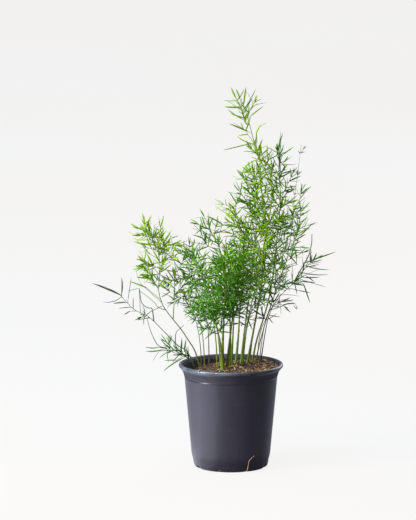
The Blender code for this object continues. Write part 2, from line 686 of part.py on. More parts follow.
class Shoot:
    """A shoot that grows by extruding its end face, ring by ring."""

    def __init__(self, bm, face, centre):
        self.bm, self.end, self.centre = bm, face, centre
        self.sides = []

    def extend(self, centre, way, radius, facing=None):
        """Extrudes the end face to a ring at centre, square to way, with one side turned to face out."""
        first = self.end.verts[0].co - self.centre
        first = (first - way * first.dot(way)).normalized()
        second = way.cross(first)
        step = 2 * math.pi / len(self.end.verts)
        turn = 0.0
        if facing is not None:
            turn = math.atan2(facing.dot(second), facing.dot(first)) % step - step / 2
        self.end = bmesh.ops.extrude_discrete_faces(self.bm, faces=[self.end])["faces"][0]
        for j, v in enumerate(self.end.verts):
            angle = turn + j * step
            v.co = centre + (first * math.cos(angle) + second * math.sin(angle)) * radius
        self.centre = centre
        self.sides = [next(f for f in e.link_faces if f is not self.end) for e in self.end.edges]

    def side_facing(self, out):
        """The side of the last stretch whose middle lies furthest along out."""
        return max(self.sides, key=lambda f: (f.calc_center_median() - self.centre).dot(out))


def start_shoot(bm, foot, head, radius, sides):
    """The first stretch of a shoot: a short prism from foot to head."""
    way = (head - foot).normalized()
    place = Matrix.LocRotScale((foot + head) / 2, way.to_track_quat("Z", "Y"), None)
    made = bmesh.ops.create_cone(
        bm, cap_ends=True, segments=sides, radius1=radius, radius2=radius, depth=(head - foot).length,
        matrix=place,
    )
    faces = {f for v in made["verts"] for f in v.link_faces}
    return Shoot(bm, max(faces, key=lambda f: f.calc_center_median().dot(way)), head)


def spike(bm, face, tip):
    """Draws a face out to a point: a needle, or the end of a shoot."""
    made = bmesh.ops.poke(bm, faces=[face])
    made["verts"][0].co = tip


def grow_needle(bm, face, way, length, number, draw, thicket):
    """A needle from a side face, leaning towards the tip of its shoot, if a free direction is found."""
    start = face.calc_center_median()
    normal = face.normal.copy()
    for attempt in range(NEEDLE_TRIES):
        lean = math.radians(draw.uniform(*NEEDLE_LEAN_DEG))
        stray = Vector((draw.uniform(-1, 1), draw.uniform(-1, 1), draw.uniform(-1, 1))) * NEEDLE_STRAY
        leave = (way * math.cos(lean) + normal * math.sin(lean) + stray).normalized()
        tip = start + leave * length * draw.uniform(*NEEDLE_LENGTHS) * (1.0 - NEEDLE_LOSS_PER_TRY * attempt)
        if leave.dot(normal) < NEEDLE_LEAST_OUTWARD:
            continue
        if thicket.sprout_is_clear(start, tip, NEEDLE_RADIUS, number) and clear_of_pot(tip):
            thicket.add(start, tip, NEEDLE_RADIUS, number)
            spike(bm, face, tip)
            return


def grow_branchlet(bm, face, branchlet, needle, number, draw, thicket):
    """A branchlet from a side face of the stem, with one or two whorls of needles and a pointed end."""
    line = Line(branchlet["points"], fine=3)
    whorls = WHORLS_OF_LONG if line.length > LONG_FROM else WHORLS_OF_SHORT
    shoot = Shoot(bm, face, face.calc_center_median())
    for share in whorls:
        radius = BRANCHLET_RADIUS * (1.0 - share / 3)
        distance = line.length * share
        shoot.extend(line.at(distance), line.way(distance), radius)
        shoot.extend(line.at(distance + NODE_LENGTH), line.way(distance), radius)
        for side in shoot.sides:
            side.normal_update()
            grow_needle(bm, side, line.way(distance), needle, number, draw, thicket)
    spike(bm, shoot.end, line.at(line.length))


def grow_frond(name, frond, number, line, branchlets, thicket):
    """One frond as a single closed piece: cane, stem of the plume, branchlets and needles."""
    draw = random.Random(500 + number)
    bm = bmesh.new()
    shoot = start_shoot(bm, line.at(0), line.at(SOCKET_RINGS[0]), stem_radius(frond, 0), CANE_SIDES)
    bare = branchlets[0]["distance"] - SOCKET_RINGS[-1]
    steps = max(1, round(bare / CANE_STEP))
    stops = list(SOCKET_RINGS[1:]) + [SOCKET_RINGS[-1] + bare * i / steps for i in range(1, steps)]
    for distance in stops:
        shoot.extend(line.at(distance), line.way(distance), stem_radius(frond, distance / line.length))
    for branchlet in branchlets:
        distance = branchlet["distance"]
        radius = stem_radius(frond, branchlet["share"])
        way = line.way(distance)
        shoot.extend(line.at(distance - NODE_LENGTH / 2), way, radius, facing=branchlet["out"])
        shoot.extend(line.at(distance + NODE_LENGTH / 2), way, radius)
        chosen = shoot.side_facing(branchlet["out"])
        for side in shoot.sides:
            side.normal_update()
            if side is not chosen:
                grow_needle(bm, side, way, frond["needle"], number, draw, thicket)
        grow_branchlet(bm, chosen, branchlet, frond["needle"] * BRANCHLET_NEEDLE_SHARE, number, draw, thicket)
    spike(bm, shoot.end, line.at(line.length))
    bmesh.ops.recalc_face_normals(bm, faces=bm.faces)
    finish = material(name + "_green", TONES[frond["tone"]], 0.55)
    return add_object(name, bm, finish, smooth_angle=100)


def socket_cutter(lines):
    """A tube round the foot of every cane, which leaves GAP between it and the potting mix."""
    bm = bmesh.new()
    for name, line in lines.items():
        radius = (stem_radius(FRONDS[name], 0) + GAP) / math.cos(math.pi / SOCKET_SIDES)
        below = line.at(0) - line.way(0) * GAP * 1.5
        shoot = start_shoot(bm, below, line.at(SOCKET_RINGS[0]), radius, SOCKET_SIDES)
        for distance in SOCKET_RINGS[1:]:
            shoot.extend(line.at(distance), line.way(distance), radius)
    return add_cutter("cane_socket_cutter", bm)


def root_object(name, points, radius, finish):
    """A thin root along a line, which ends in a point."""
    line = Line(points)
    bm = bmesh.new()
    shoot = start_shoot(bm, line.at(0), line.at(radius), radius, ROOT_SIDES)
    for i in range(1, ROOT_STEPS):
        distance = line.length * i / ROOT_STEPS
        shoot.extend(line.at(distance), line.way(distance), radius * (1.0 - i / ROOT_STEPS / 3))
    spike(bm, shoot.end, line.at(line.length))
    return add_object(name, bm, finish, smooth_angle=60)


def build_roots(ground):
    finish = material("root_skin", (0.62, 0.47, 0.38), 0.6)
    drain = []
    for turn, r, z in DRAIN_ROOT_ROUTE:
        angle = math.radians(turn)
        drain.append((r * math.cos(angle), r * math.sin(angle), z))
    root_object("drain_root", drain, DRAIN_ROOT_RADIUS, finish)
    lying = []
    for x, y in SURFACE_ROOT_ROUTE:
        top = ground.ray_cast(Vector((x, y, POT_HEIGHT + DROP_HEIGHT)), Vector((0, 0, -1)))[0].z
        lying.append((x, y, top + SURFACE_ROOT_RADIUS + GAP * 2))
    root_object("surface_root", lying, SURFACE_ROOT_RADIUS, finish)


def build_fronds(lines):
    thicket = Thicket()
    names = list(FRONDS)
    for number, name in enumerate(names):
        line, frond = lines[name], FRONDS[name]
        count = int(line.length / STRETCH)
        for i in range(count):
            start, end = line.length * i / count, line.length * (i + 1) / count
            thicket.add(line.at(start), line.at(end), stem_radius(frond, i / count), number)
    grown = {}
    for number, name in enumerate(names):
        frond = FRONDS[name]
        draw = random.Random(100 + number)
        found = []
        for k in range(frond["branchlets"]):
            found.append(lay_out_branchlet(frond, number, lines[name], k, draw, thicket))
        grown[name] = [b for b in found if b]
    for number, name in enumerate(names):
        grow_frond(name, FRONDS[name], number, lines[name], grown[name], thicket)


def main():
    clear_scene()
    build_pot()
    ground_bm = soil_bmesh()
    ground = BVHTree.FromBMesh(ground_bm)
    soil = add_object("potting_mix", ground_bm, material("potting_mix", (0.115, 0.075, 0.045), 0.95), 40)
    lines = {name: frond_line(frond) for name, frond in FRONDS.items()}
    cut(soil, socket_cutter(lines))
    build_loose_pieces(ground)
    build_roots(ground)
    build_fronds(lines)


main()
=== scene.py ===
import math
import random

import bmesh
import bpy
import numpy as np
from mathutils import Matrix, Vector, noise
from mathutils.bvhtree import BVHTree


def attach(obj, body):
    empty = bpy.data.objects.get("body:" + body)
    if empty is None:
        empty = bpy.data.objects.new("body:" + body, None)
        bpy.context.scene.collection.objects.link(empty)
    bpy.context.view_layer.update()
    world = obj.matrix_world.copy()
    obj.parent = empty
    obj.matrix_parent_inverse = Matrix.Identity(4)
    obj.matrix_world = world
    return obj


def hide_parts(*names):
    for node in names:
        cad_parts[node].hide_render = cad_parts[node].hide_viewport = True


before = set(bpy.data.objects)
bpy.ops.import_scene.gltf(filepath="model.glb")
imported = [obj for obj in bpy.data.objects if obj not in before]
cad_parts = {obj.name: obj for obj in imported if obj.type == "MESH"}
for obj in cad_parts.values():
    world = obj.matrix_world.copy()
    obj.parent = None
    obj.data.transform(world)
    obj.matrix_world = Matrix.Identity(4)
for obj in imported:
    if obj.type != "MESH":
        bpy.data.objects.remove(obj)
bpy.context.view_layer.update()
print("frame:", len(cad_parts), "nodes")


# camera: a long lens, a little above the lip of the pot
cameraLook = dict(riseDeg=10.0, distance=10.0, frameHeight=0.821, rimHeight=0.165, aimRight=-0.0362, aimUp=0.1628)


def addCamera(look):
    rise = math.radians(look["riseDeg"])
    ahead = Vector((0, math.cos(rise), -math.sin(rise)))
    upward = Vector((0, math.sin(rise), math.cos(rise)))
    aim = Vector((look["aimRight"], 0, look["rimHeight"])) + upward * look["aimUp"]
    data = bpy.data.cameras.new("camera")
    data.sensor_width = 36
    data.lens = data.sensor_width * look["distance"] / look["frameHeight"]
    camera = bpy.data.objects.new("camera", data)
    bpy.context.scene.collection.objects.link(camera)
    camera.location = aim - ahead * look["distance"]
    camera.rotation_euler = ahead.to_track_quat("-Z", "Y").to_euler()
    bpy.context.scene.camera = camera


addCamera(cameraLook)
bpy.context.scene.view_settings.view_transform = "Standard"
print("camera placed")


# node helpers
def newMaterial(name):
    material = bpy.data.materials.new(name)
    material.use_nodes = True
    return material, material.node_tree, material.node_tree.nodes["Principled BSDF"]


def put(tree, socket, value):
    if isinstance(value, bpy.types.NodeSocket):
        tree.links.new(value, socket)
    else:
        socket.default_value = value


# inputs are given by label, or by number as i0, i1 and so on
def addNode(tree, kind, settings=None, **inputs):
    node = tree.nodes.new(kind)
    for key, value in (settings or {}).items():
        setattr(node, key, value)
    for key, value in inputs.items():
        put(tree, node.inputs[int(key[1:])] if key[1:].isdigit() else node.inputs[key], value)
    return node


def mixColours(tree, share, first, second, how="MIX"):
    settings = {"data_type": "RGBA", "blend_type": how}
    return addNode(tree, "ShaderNodeMix", settings, i0=share, i6=first, i7=second).outputs[2]


def mixValues(tree, share, first, second):
    return addNode(tree, "ShaderNodeMix", None, i0=share, i2=first, i3=second).outputs[0]


def mapRange(tree, value, low, high, outLow=0.0, outHigh=1.0):
    node = addNode(tree, "ShaderNodeMapRange", {"clamp": True}, i0=value, i1=low, i2=high, i3=outLow, i4=outHigh)
    return node.outputs[0]


def maths(tree, operation, first, second=0.5, clamp=False):
    settings = {"operation": operation, "use_clamp": clamp}
    return addNode(tree, "ShaderNodeMath", settings, i0=first, i1=second).outputs[0]


def splitUp(tree, vector):
    return addNode(tree, "ShaderNodeSeparateXYZ", None, Vector=vector).outputs


def objectPlace(tree):
    return addNode(tree, "ShaderNodeTexCoord").outputs["Object"]


def noiseAt(tree, place, scale, detail, roughness=0.5):
    node = addNode(tree, "ShaderNodeTexNoise", None, Vector=place, Scale=scale, Detail=detail, Roughness=roughness)
    return node.outputs[0]


# a socket's kind follows from how many numbers it carries
socketKinds = {1: "NodeSocketFloat", 3: "NodeSocketVector", 4: "NodeSocketColor"}


def newGroup(name, inputs, outputs):
    group = bpy.data.node_groups.new(name, "ShaderNodeTree")
    for label, value in inputs.items():
        kind = socketKinds[np.size(value)]
        group.interface.new_socket(name=label, in_out="INPUT", socket_type=kind).default_value = value
    for label, size in outputs.items():
        group.interface.new_socket(name=label, in_out="OUTPUT", socket_type=socketKinds[size])
    return group, group.nodes.new("NodeGroupInput").outputs, group.nodes.new("NodeGroupOutput").inputs


def useGroup(tree, group, **inputs):
    return addNode(tree, "ShaderNodeGroup", {"node_tree": group}, **inputs).outputs


def stretchedPlace(group, given):
    return addNode(group, "ShaderNodeMapping", None, Vector=objectPlace(group), Scale=given["Stretch"]).outputs[0]


# colour that drifts in soft patches and in fine mottling, as on anything grown or moulded
def makeDriftGroup():
    grey = (0.5, 0.5, 0.5, 1)
    group, given, out = newGroup(
        "colourDrift", dict(Colour=grey, Other=grey, PatchScale=20.0, FineScale=200.0, Patch=0.5, Fine=0.3,
                            Stretch=(1, 1, 1)), dict(Colour=4, Mask=1))
    place = stretchedPlace(group, given)
    broad = mapRange(group, noiseAt(group, place, given["PatchScale"], 3.0), 0.35, 0.65)
    fine = mapRange(group, noiseAt(group, place, given["FineScale"], 2.0), 0.3, 0.7)
    broad = maths(group, "MULTIPLY", broad, given["Patch"])
    both = maths(group, "ADD", broad, maths(group, "MULTIPLY", fine, given["Fine"]), clamp=True)
    put(group, out["Colour"], mixColours(group, both, given["Colour"], given["Other"]))
    put(group, out["Mask"], both)
    return group


# grain height from noise at two sizes, for a Bump node
def makeGrainGroup():
    group, given, out = newGroup(
        "grainHeight", dict(Coarse=60.0, Fine=600.0, FineShare=0.4, Stretch=(1, 1, 1)), dict(Height=1))
    place = stretchedPlace(group, given)
    coarse, fine = noiseAt(group, place, given["Coarse"], 4.0), noiseAt(group, place, given["Fine"], 2.0)
    put(group, out["Height"], mixValues(group, given["FineShare"], coarse, fine))
    return group


# scratches and rubbed spots, longer one way than the other
def makeScuffGroup():
    group, given, out = newGroup(
        "scuffMask", dict(Scale=40.0, Threshold=0.62, Softness=0.05, Stretch=(1, 1, 1)), dict(Mask=1))
    marks = noiseAt(group, stretchedPlace(group, given), given["Scale"], 6.0, 0.7)
    over = maths(group, "SUBTRACT", marks, given["Threshold"])
    put(group, out["Mask"], maths(group, "DIVIDE", over, given["Softness"], clamp=True))
    return group


driftGroup = makeDriftGroup()
grainGroup = makeGrainGroup()
scuffGroup = makeScuffGroup()


def addBump(tree, shader, height, strength, distance):
    bump = addNode(tree, "ShaderNodeBump", None, Strength=strength, Distance=distance, Height=height)
    tree.links.new(bump.outputs[0], shader.inputs["Normal"])


# pot: black polypropylene with a plum cast, a soft mould grain, dust and rubbed places, and a lip that is paler with
# wear all round and carries a painted bluish highlight, strongest on the left; the bands are heights, or distances
# across, between which an effect comes in
potPlastic = dict(base=(0.011, 0.010, 0.016, 1), cast=(0.022, 0.017, 0.030, 1), dust=(0.16, 0.14, 0.13, 1),
                  rubbed=(0.20, 0.19, 0.20, 1), residue=(0.030, 0.022, 0.016, 1), lipWearAndSheen=(0.150, 0.180, 0.245, 1),
                  roughness=0.28, scuffRoughness=0.58, lipRoughness=0.16, grimeRoughness=0.78, dustShare=0.32,
                  rubbedShare=0.10, footBand=(0.004, 0.045), upwardBand=(0.55, 1.0), upwardDust=0.35,
                  insideBand=(-0.012, -0.03), wearAndSheenBand=(0.1575, 0.1600), paintedSheenAcross=(-0.018, 0.030), wearLeast=0.22,
                  polishBand=(0.1585, 0.1605), grooveHeight=0.1515, grooveBand=(0.0045, 0.0065), grooveGrime=0.75)


def potMaterial(look):
    material, tree, shader = newMaterial("potPlastic")
    body = useGroup(tree, driftGroup, Colour=look["base"], Other=look["cast"], PatchScale=22.0, FineScale=900.0,
                    Patch=0.8, Fine=0.25, Stretch=(1, 1, 0.35))["Colour"]
    scuffs = useGroup(tree, scuffGroup, Scale=55.0, Threshold=0.63, Softness=0.07, Stretch=(1, 1, 2.2))["Mask"]
    scratches = useGroup(tree, scuffGroup, Scale=160.0, Threshold=0.66, Softness=0.05, Stretch=(1, 1, 0.12))["Mask"]
    speckle = useGroup(tree, scuffGroup, Scale=300.0, Threshold=0.56, Softness=0.14)["Mask"]
    lipWearAndSheenMask = useGroup(tree, scuffGroup, Scale=48.0, Threshold=0.25, Softness=0.55, Stretch=(1, 1, 0.5))["Mask"]
    parts = splitUp(tree, objectPlace(tree))
    facing = addNode(tree, "ShaderNodeNewGeometry").outputs["Normal"]
    flat = addNode(tree, "ShaderNodeCombineXYZ", None, X=parts["X"], Y=parts["Y"]).outputs[0]
    outward = addNode(tree, "ShaderNodeVectorMath", {"operation": "DOT_PRODUCT"}, i0=facing, i1=flat).outputs["Value"]
    inside = mapRange(tree, outward, *look["insideBand"])
    nearFoot = mapRange(tree, parts["Z"], *look["footBand"], 1.0, 0.0)
    upward = mapRange(tree, splitUp(tree, facing)["Z"], *look["upwardBand"], 0.0, look["upwardDust"])
    dust = maths(tree, "MAXIMUM", maths(tree, "MULTIPLY", nearFoot, speckle), upward)
    rubbed = maths(tree, "MAXIMUM", scuffs, scratches)
    # the lip mask is real wear plus a painted bluish highlight: it is full on the left and falls to a small share of
    # wear on the right
    lipWearAndSheenMask = maths(tree, "MULTIPLY", lipWearAndSheenMask, mapRange(tree, parts["Z"], *look["wearAndSheenBand"]))
    lipWearAndSheenMask = maths(tree, "MULTIPLY", lipWearAndSheenMask, mapRange(tree, parts["X"], *look["paintedSheenAcross"], 1.0, look["wearLeast"]))
    colour = mixColours(tree, maths(tree, "MULTIPLY", rubbed, look["rubbedShare"]), body, look["rubbed"])
    colour = mixColours(tree, maths(tree, "MULTIPLY", dust, look["dustShare"]), colour, look["dust"])
    colour = mixColours(tree, maths(tree, "MULTIPLY", inside, speckle), colour, look["residue"])
    # painted highlight: the pale bluish lip colour goes on through the lip mask, brightest on the left
    put(tree, shader.inputs["Base Color"], mixColours(tree, lipWearAndSheenMask, colour, look["lipWearAndSheen"]))
    polish = mapRange(tree, parts["Z"], *look["polishBand"], look["roughness"], look["lipRoughness"])
    groove = maths(tree, "ABSOLUTE", maths(tree, "SUBTRACT", parts["Z"], look["grooveHeight"]))
    groove = mapRange(tree, groove, *look["grooveBand"], look["grooveGrime"], 0.0)
    rough = mixValues(tree, rubbed, polish, look["scuffRoughness"])
    rough = mixValues(tree, maths(tree, "MAXIMUM", groove, inside), rough, look["grimeRoughness"])
    put(tree, shader.inputs["Roughness"], rough)
    grain = useGroup(tree, grainGroup, Coarse=130.0, Fine=1500.0, FineShare=0.5)["Height"]
    addBump(tree, shader, grain, strength=0.12, distance=0.0006)
    return material


# potting mix: bark fibre and peat, brown with a purple cast
mixLook = dict(dark=(0.040, 0.026, 0.024, 1), light=(0.165, 0.100, 0.072, 1), chip=(0.34, 0.22, 0.10, 1),
               roughness=0.92)


def mixMaterial(look):
    material, tree, shader = newMaterial("pottingMix")
    base = useGroup(tree, driftGroup, Colour=look["dark"], Other=look["light"], PatchScale=120.0, FineScale=700.0,
                    Patch=0.7, Fine=0.6)["Colour"]
    flecks = useGroup(tree, scuffGroup, Scale=420.0, Threshold=0.60, Softness=0.04)["Mask"]
    put(tree, shader.inputs["Base Color"], mixColours(tree, flecks, base, look["chip"]))
    shader.inputs["Roughness"].default_value = look["roughness"]
    height = useGroup(tree, grainGroup, Coarse=320.0, Fine=1400.0, FineShare=0.35)["Height"]
    addBump(tree, shader, height, strength=0.9, distance=0.0012)
    return material


# anything tinted piece by piece: crumbs, chips, roots and canes carry their colour in an attribute
def tintedMaterial(name, roughness, other, patch, fine, coarse, fineGrain, strength, depth, stretch=(1, 1, 1)):
    material, tree, shader = newMaterial(name)
    tint = addNode(tree, "ShaderNodeAttribute", {"attribute_name": "tint"}).outputs["Color"]
    colour = useGroup(tree, driftGroup, Colour=tint, Other=mixColours(tree, 1.0, tint, other, "MULTIPLY"),
                      PatchScale=coarse, FineScale=fineGrain, Patch=patch, Fine=fine, Stretch=stretch)
    put(tree, shader.inputs["Base Color"], colour["Colour"])
    put(tree, shader.inputs["Roughness"], mapRange(tree, colour["Mask"], 0.0, 1.0, roughness, roughness + 0.15))
    height = useGroup(tree, grainGroup, Coarse=coarse, Fine=fineGrain, FineShare=0.5, Stretch=stretch)["Height"]
    addBump(tree, shader, height, strength, depth)
    return material


# cladodes: waxy green blades, paler at the foot and yellow towards the tip
needleLook = dict(deeper=(0.60, 0.74, 0.62, 1), tip=(0.32, 0.36, 0.06, 1), foot=(0.24, 0.32, 0.04, 1),
                  roughness=(0.52, 0.68), specular=0.2, tipBand=(0.86, 1.0), tipShare=0.5, footBand=(0.0, 0.14),
                  footShare=0.35)


def needleMaterial(look):
    material, tree, shader = newMaterial("cladodeSkin")
    tint = addNode(tree, "ShaderNodeAttribute", {"attribute_name": "tint"}).outputs["Color"]
    along = addNode(tree, "ShaderNodeAttribute", {"attribute_name": "along"}).outputs["Fac"]
    colour = useGroup(tree, driftGroup, Colour=tint, Other=mixColours(tree, 1.0, tint, look["deeper"], "MULTIPLY"),
                      PatchScale=90.0, FineScale=900.0, Patch=0.55, Fine=0.35)
    towardsTip = mapRange(tree, along, *look["tipBand"], 0.0, look["tipShare"])
    towardsFoot = mapRange(tree, along, *look["footBand"], look["footShare"], 0.0)
    paler = mixColours(tree, towardsTip, colour["Colour"], look["tip"])
    paler = mixColours(tree, towardsFoot, paler, look["foot"])
    put(tree, shader.inputs["Base Color"], paler)
    put(tree, shader.inputs["Roughness"], mapRange(tree, colour["Mask"], 0.0, 1.0, *look["roughness"]))
    shader.inputs["Specular IOR Level"].default_value = look["specular"]
    height = useGroup(tree, grainGroup, Coarse=700.0, Fine=2600.0, FineShare=0.5)["Height"]
    addBump(tree, shader, height, strength=0.25, distance=0.0002)
    return material


potFinish = potMaterial(potPlastic)
mixFinish = mixMaterial(mixLook)
needleFinish = needleMaterial(needleLook)
caneFinish = tintedMaterial("caneSkin", roughness=0.42, other=(0.66, 0.78, 0.60, 1), patch=0.5, fine=0.4, coarse=260.0,
                            fineGrain=900.0, strength=0.5, depth=0.0005, stretch=(1, 1, 0.06))
crumbFinish = tintedMaterial("crumbs", roughness=0.88, other=(0.45, 0.40, 0.40, 1), patch=0.7, fine=0.5, coarse=260.0,
                             fineGrain=1200.0, strength=0.8, depth=0.0008)
grainFinish = tintedMaterial("perliteGrain", roughness=0.8, other=(0.62, 0.56, 0.48, 1), patch=0.6, fine=0.4,
                             coarse=420.0, fineGrain=1500.0, strength=0.9, depth=0.0007)
rootFinish = tintedMaterial("rootSkin", roughness=0.6, other=(0.62, 0.50, 0.42, 1), patch=0.6, fine=0.4, coarse=240.0,
                            fineGrain=1200.0, strength=0.6, depth=0.0004)
scaleFinish = tintedMaterial("paperyScale", roughness=0.7, other=(0.60, 0.50, 0.40, 1), patch=0.6, fine=0.5,
                             coarse=500.0, fineGrain=1500.0, strength=0.6, depth=0.0004)
print("materials made")


# finished pieces
def addPiece(name, bm, finish, nodes=(), smoothAngle=None):
    mesh = bpy.data.meshes.new(name)
    bm.to_mesh(mesh)
    bm.free()
    if smoothAngle is not None:
        mesh.shade_smooth()
        mesh.set_sharp_from_angle(angle=math.radians(smoothAngle))
    mesh.materials.append(finish)
    piece = bpy.data.objects.new(name, mesh)
    bpy.context.scene.collection.objects.link(piece)
    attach(piece, "root")
    if nodes:
        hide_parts(*nodes)
    return piece


def arc(centre, radius, startDeg, endDeg, steps):
    points = []
    for i in range(steps + 1):
        angle = math.radians(startDeg + (endDeg - startDeg) * i / steps)
        points.append((centre[0] + radius * math.cos(angle), centre[1] + radius * math.sin(angle)))
    return points


def spunShape(profile, sides):
    bm = bmesh.new()
    line = [bm.verts.new((r, 0, z)) for r, z in profile]
    edges = [bm.edges.new(pair) for pair in zip(line, line[1:])]
    bmesh.ops.spin(bm, geom=line + edges, cent=(0, 0, 0), axis=(0, 0, 1), angle=2 * math.pi, steps=sides,
                   use_merge=True)
    bmesh.ops.remove_doubles(bm, verts=bm.verts, dist=1e-6)
    bmesh.ops.recalc_face_normals(bm, faces=bm.faces)
    return bm


# nursery pot
pot = dict(height=0.165, lipRadius=0.0825, lipRoll=0.0030, neckRadius=0.0754, neckHeight=0.1505, flareRadius=0.0771,
           flareHeight=0.1548, ledgeHeight=0.1454, ledgeStep=0.0006, wallTop=0.0735, kneeRadius=0.0621,
           kneeHeight=0.020, kneeSpread=0.0035, wallFoot=0.0577, corner=0.0045, boss=0.0185, panel=0.0370,
           ring=0.0430, lift=0.0030, wall=0.0014, sides=160, holes=8, holeFirstDeg=25, holeWidth=0.0062,
           holeHeight=0.0036, holeTiltDeg=135, padOut=0.0006, padTop=0.0105, padArch=0.0022, padFade=0.0015,
           padFromDeg=8.0, padFadeDeg=2, soften=0.0003, lowRings=(0.0085, 0.0105, 0.0125),
           wallRings=(0.040, 0.075, 0.105, 0.125, 0.136), ringsUnderLedge=(0.0056, 0.0032, 0.0016),
           innerRings=(0.110, 0.060))


# the wall tapers more steeply below a soft knee
def wallRadius(z):
    if z < pot["kneeHeight"]:
        share = (z - pot["corner"]) / (pot["kneeHeight"] - pot["corner"])
        return pot["wallFoot"] + share * (pot["kneeRadius"] - pot["wallFoot"])
    share = (z - pot["kneeHeight"]) / (pot["ledgeHeight"] - pot["kneeHeight"])
    return pot["kneeRadius"] + share * (pot["wallTop"] - pot["kneeRadius"])


def kneePoints(inward):
    points = []
    for i in range(-2, 3):
        z = pot["kneeHeight"] + pot["kneeSpread"] * i / 2
        sag = pot["soften"] * (1 - abs(i) / 2) ** 2
        points.append((wallRadius(z) - sag - inward, z))
    return points


def potProfile():
    wall, corner = pot["wall"], (pot["wallFoot"] - pot["corner"], pot["corner"])
    roll = (pot["lipRadius"] - pot["lipRoll"], pot["height"] - pot["lipRoll"])
    ledge, step = pot["ledgeHeight"], pot["ledgeStep"]
    out = [(0.0, 0.0), (pot["boss"], 0.0), (pot["boss"] + 0.0006, 0.0003), (pot["boss"] + pot["lift"], pot["lift"])]
    out += [(pot["panel"], pot["lift"]), (pot["ring"] - 0.0008, 0.0003), (pot["ring"], 0.0)]
    out += arc(corner, pot["corner"], -90, -12, 10) + [(wallRadius(z), z) for z in pot["lowRings"]]
    out += kneePoints(0) + [(wallRadius(z), z) for z in pot["wallRings"]]
    out += [(wallRadius(ledge - below), ledge - below) for below in pot["ringsUnderLedge"]]
    out += [(pot["wallTop"] - 0.0005, ledge - 0.0008), (pot["wallTop"] - 0.0004, ledge - 0.0002)]
    out += [(pot["wallTop"] + step * 0.7, ledge + step * 0.35), (pot["wallTop"] + step, ledge + step)]
    out += [(pot["wallTop"] + 0.0006, ledge + step * 1.8), (pot["neckRadius"], pot["neckHeight"])]
    out += [(pot["flareRadius"] - 0.0006, pot["flareHeight"] - 0.0012)]
    out += [(pot["flareRadius"] + 0.0012, pot["flareHeight"] + 0.0012)]
    lip = arc(roll, pot["lipRoll"], -70, 160, 20)
    inside = [(pot["flareRadius"] - wall + 0.0004, pot["flareHeight"] + wall + 0.002)]
    inside += [(pot["neckRadius"] - wall, pot["neckHeight"]), (pot["wallTop"] - wall, ledge)]
    inside += [(wallRadius(z) - wall, z) for z in pot["innerRings"]] + kneePoints(wall)[::-1]
    inside += arc(corner, pot["corner"] - wall, -12, -80, 6)
    inside += [(pot["ring"] + wall / 2, wall), (pot["panel"] + wall / 2, pot["lift"] + wall)]
    inside += [(pot["boss"] + pot["lift"] - wall / 2, pot["lift"] + wall), (pot["boss"] - wall / 2, wall), (0.0, wall)]
    return out + lip + inside


def potCutters():
    bm = bmesh.new()
    lean = math.radians(pot["holeTiltDeg"])
    middle = pot["corner"] - pot["wall"] / 2
    centre = Vector((pot["wallFoot"] - pot["corner"] + middle * math.sin(lean), 0,
                     pot["corner"] + middle * math.cos(lean)))
    for i in range(pot["holes"]):
        turn = math.radians(pot["holeFirstDeg"] + 360 * i / pot["holes"] - 90)
        place = Matrix.Rotation(turn, 4, "Z") @ Matrix.Translation(centre) @ Matrix.Rotation(lean, 4, "Y")
        bmesh.ops.create_cone(bm, cap_ends=True, segments=28, radius1=1, radius2=1, depth=0.010,
                              matrix=place @ Matrix.Diagonal((pot["holeHeight"], pot["holeWidth"], 1, 1)))
    mesh = bpy.data.meshes.new("drainHoles")
    bm.to_mesh(mesh)
    bm.free()
    return bpy.data.objects.new("drainHoles", mesh)


def cutAway(bm, cutter):
    mesh = bpy.data.meshes.new("toCut")
    bm.to_mesh(mesh)
    bm.free()
    whole = bpy.data.objects.new("toCut", mesh)
    bpy.context.scene.collection.objects.link(whole)
    bpy.context.scene.collection.objects.link(cutter)
    modifier = whole.modifiers.new("cut", "BOOLEAN")
    modifier.operation = "DIFFERENCE"
    modifier.solver = "EXACT"
    modifier.object = cutter
    bpy.context.view_layer.update()
    cut = bmesh.new()
    cut.from_mesh(whole.evaluated_get(bpy.context.evaluated_depsgraph_get()).to_mesh())
    bpy.data.objects.remove(whole)
    bpy.data.objects.remove(cutter)
    return cut


# a shallow arched pad stands out of the rounded foot between each two drain holes
def raisePads(bm):
    spacing = 360 / pot["holes"]
    for v in bm.verts:
        around = math.degrees(math.atan2(v.co.y, v.co.x)) + 90 - pot["holeFirstDeg"]
        fromHole = abs((around + spacing / 2) % spacing - spacing / 2)
        fromMiddle = (spacing / 2 - fromHole) / (spacing / 2 - pot["padFromDeg"])
        top = pot["padTop"] - pot["padArch"] * fromMiddle * fromMiddle
        share = min(1.0, max(0.0, (fromHole - pot["padFromDeg"]) / pot["padFadeDeg"]))
        share *= min(1.0, max(0.0, (top - v.co.z) / pot["padFade"]))
        if v.co.xy.length > pot["ring"] + 0.002:
            v.co.xy = v.co.xy.normalized() * (v.co.xy.length + pot["padOut"] * share)


def potShape():
    bm = spunShape(potProfile(), pot["sides"])
    raisePads(bm)
    return cutAway(bm, potCutters())


addPiece("potShell", potShape(), potFinish, ["nursery_pot"], smoothAngle=32)
print("pot made")


# potting mix, with crumbs, bark and grains on top
soil = dict(level=0.1550, slope=0.112, mound=0.0035, moundX=0.004, moundY=0.012, spreadX=0.050, spreadY=0.045,
            lump=0.0011, edge=0.0700, edgeHeight=0.1420, shoulder=0.1330, rings=44, sides=150, gap=0.0003,
            lumpScales=(110, 260), fineScales=(520, 1100), fineHeights=(0.0007, 0.0004), edgeOver=0.006,
            edgeDrop=0.0022, widenAbove=0.1515, widenBy=0.62, widenMost=0.0052)


def soilHeight(x, y):
    aside, away = (x - soil["moundX"]) / soil["spreadX"], (y - soil["moundY"]) / soil["spreadY"]
    broad, small = soil["lumpScales"]
    lumps = noise.noise(Vector((x, y, 0)) * broad) + 0.5 * noise.noise(Vector((x, y, 0.002)) * small)
    mound = soil["mound"] * math.exp(-aside * aside - away * away)
    return soil["level"] + soil["slope"] * x + mound + soil["lump"] * lumps


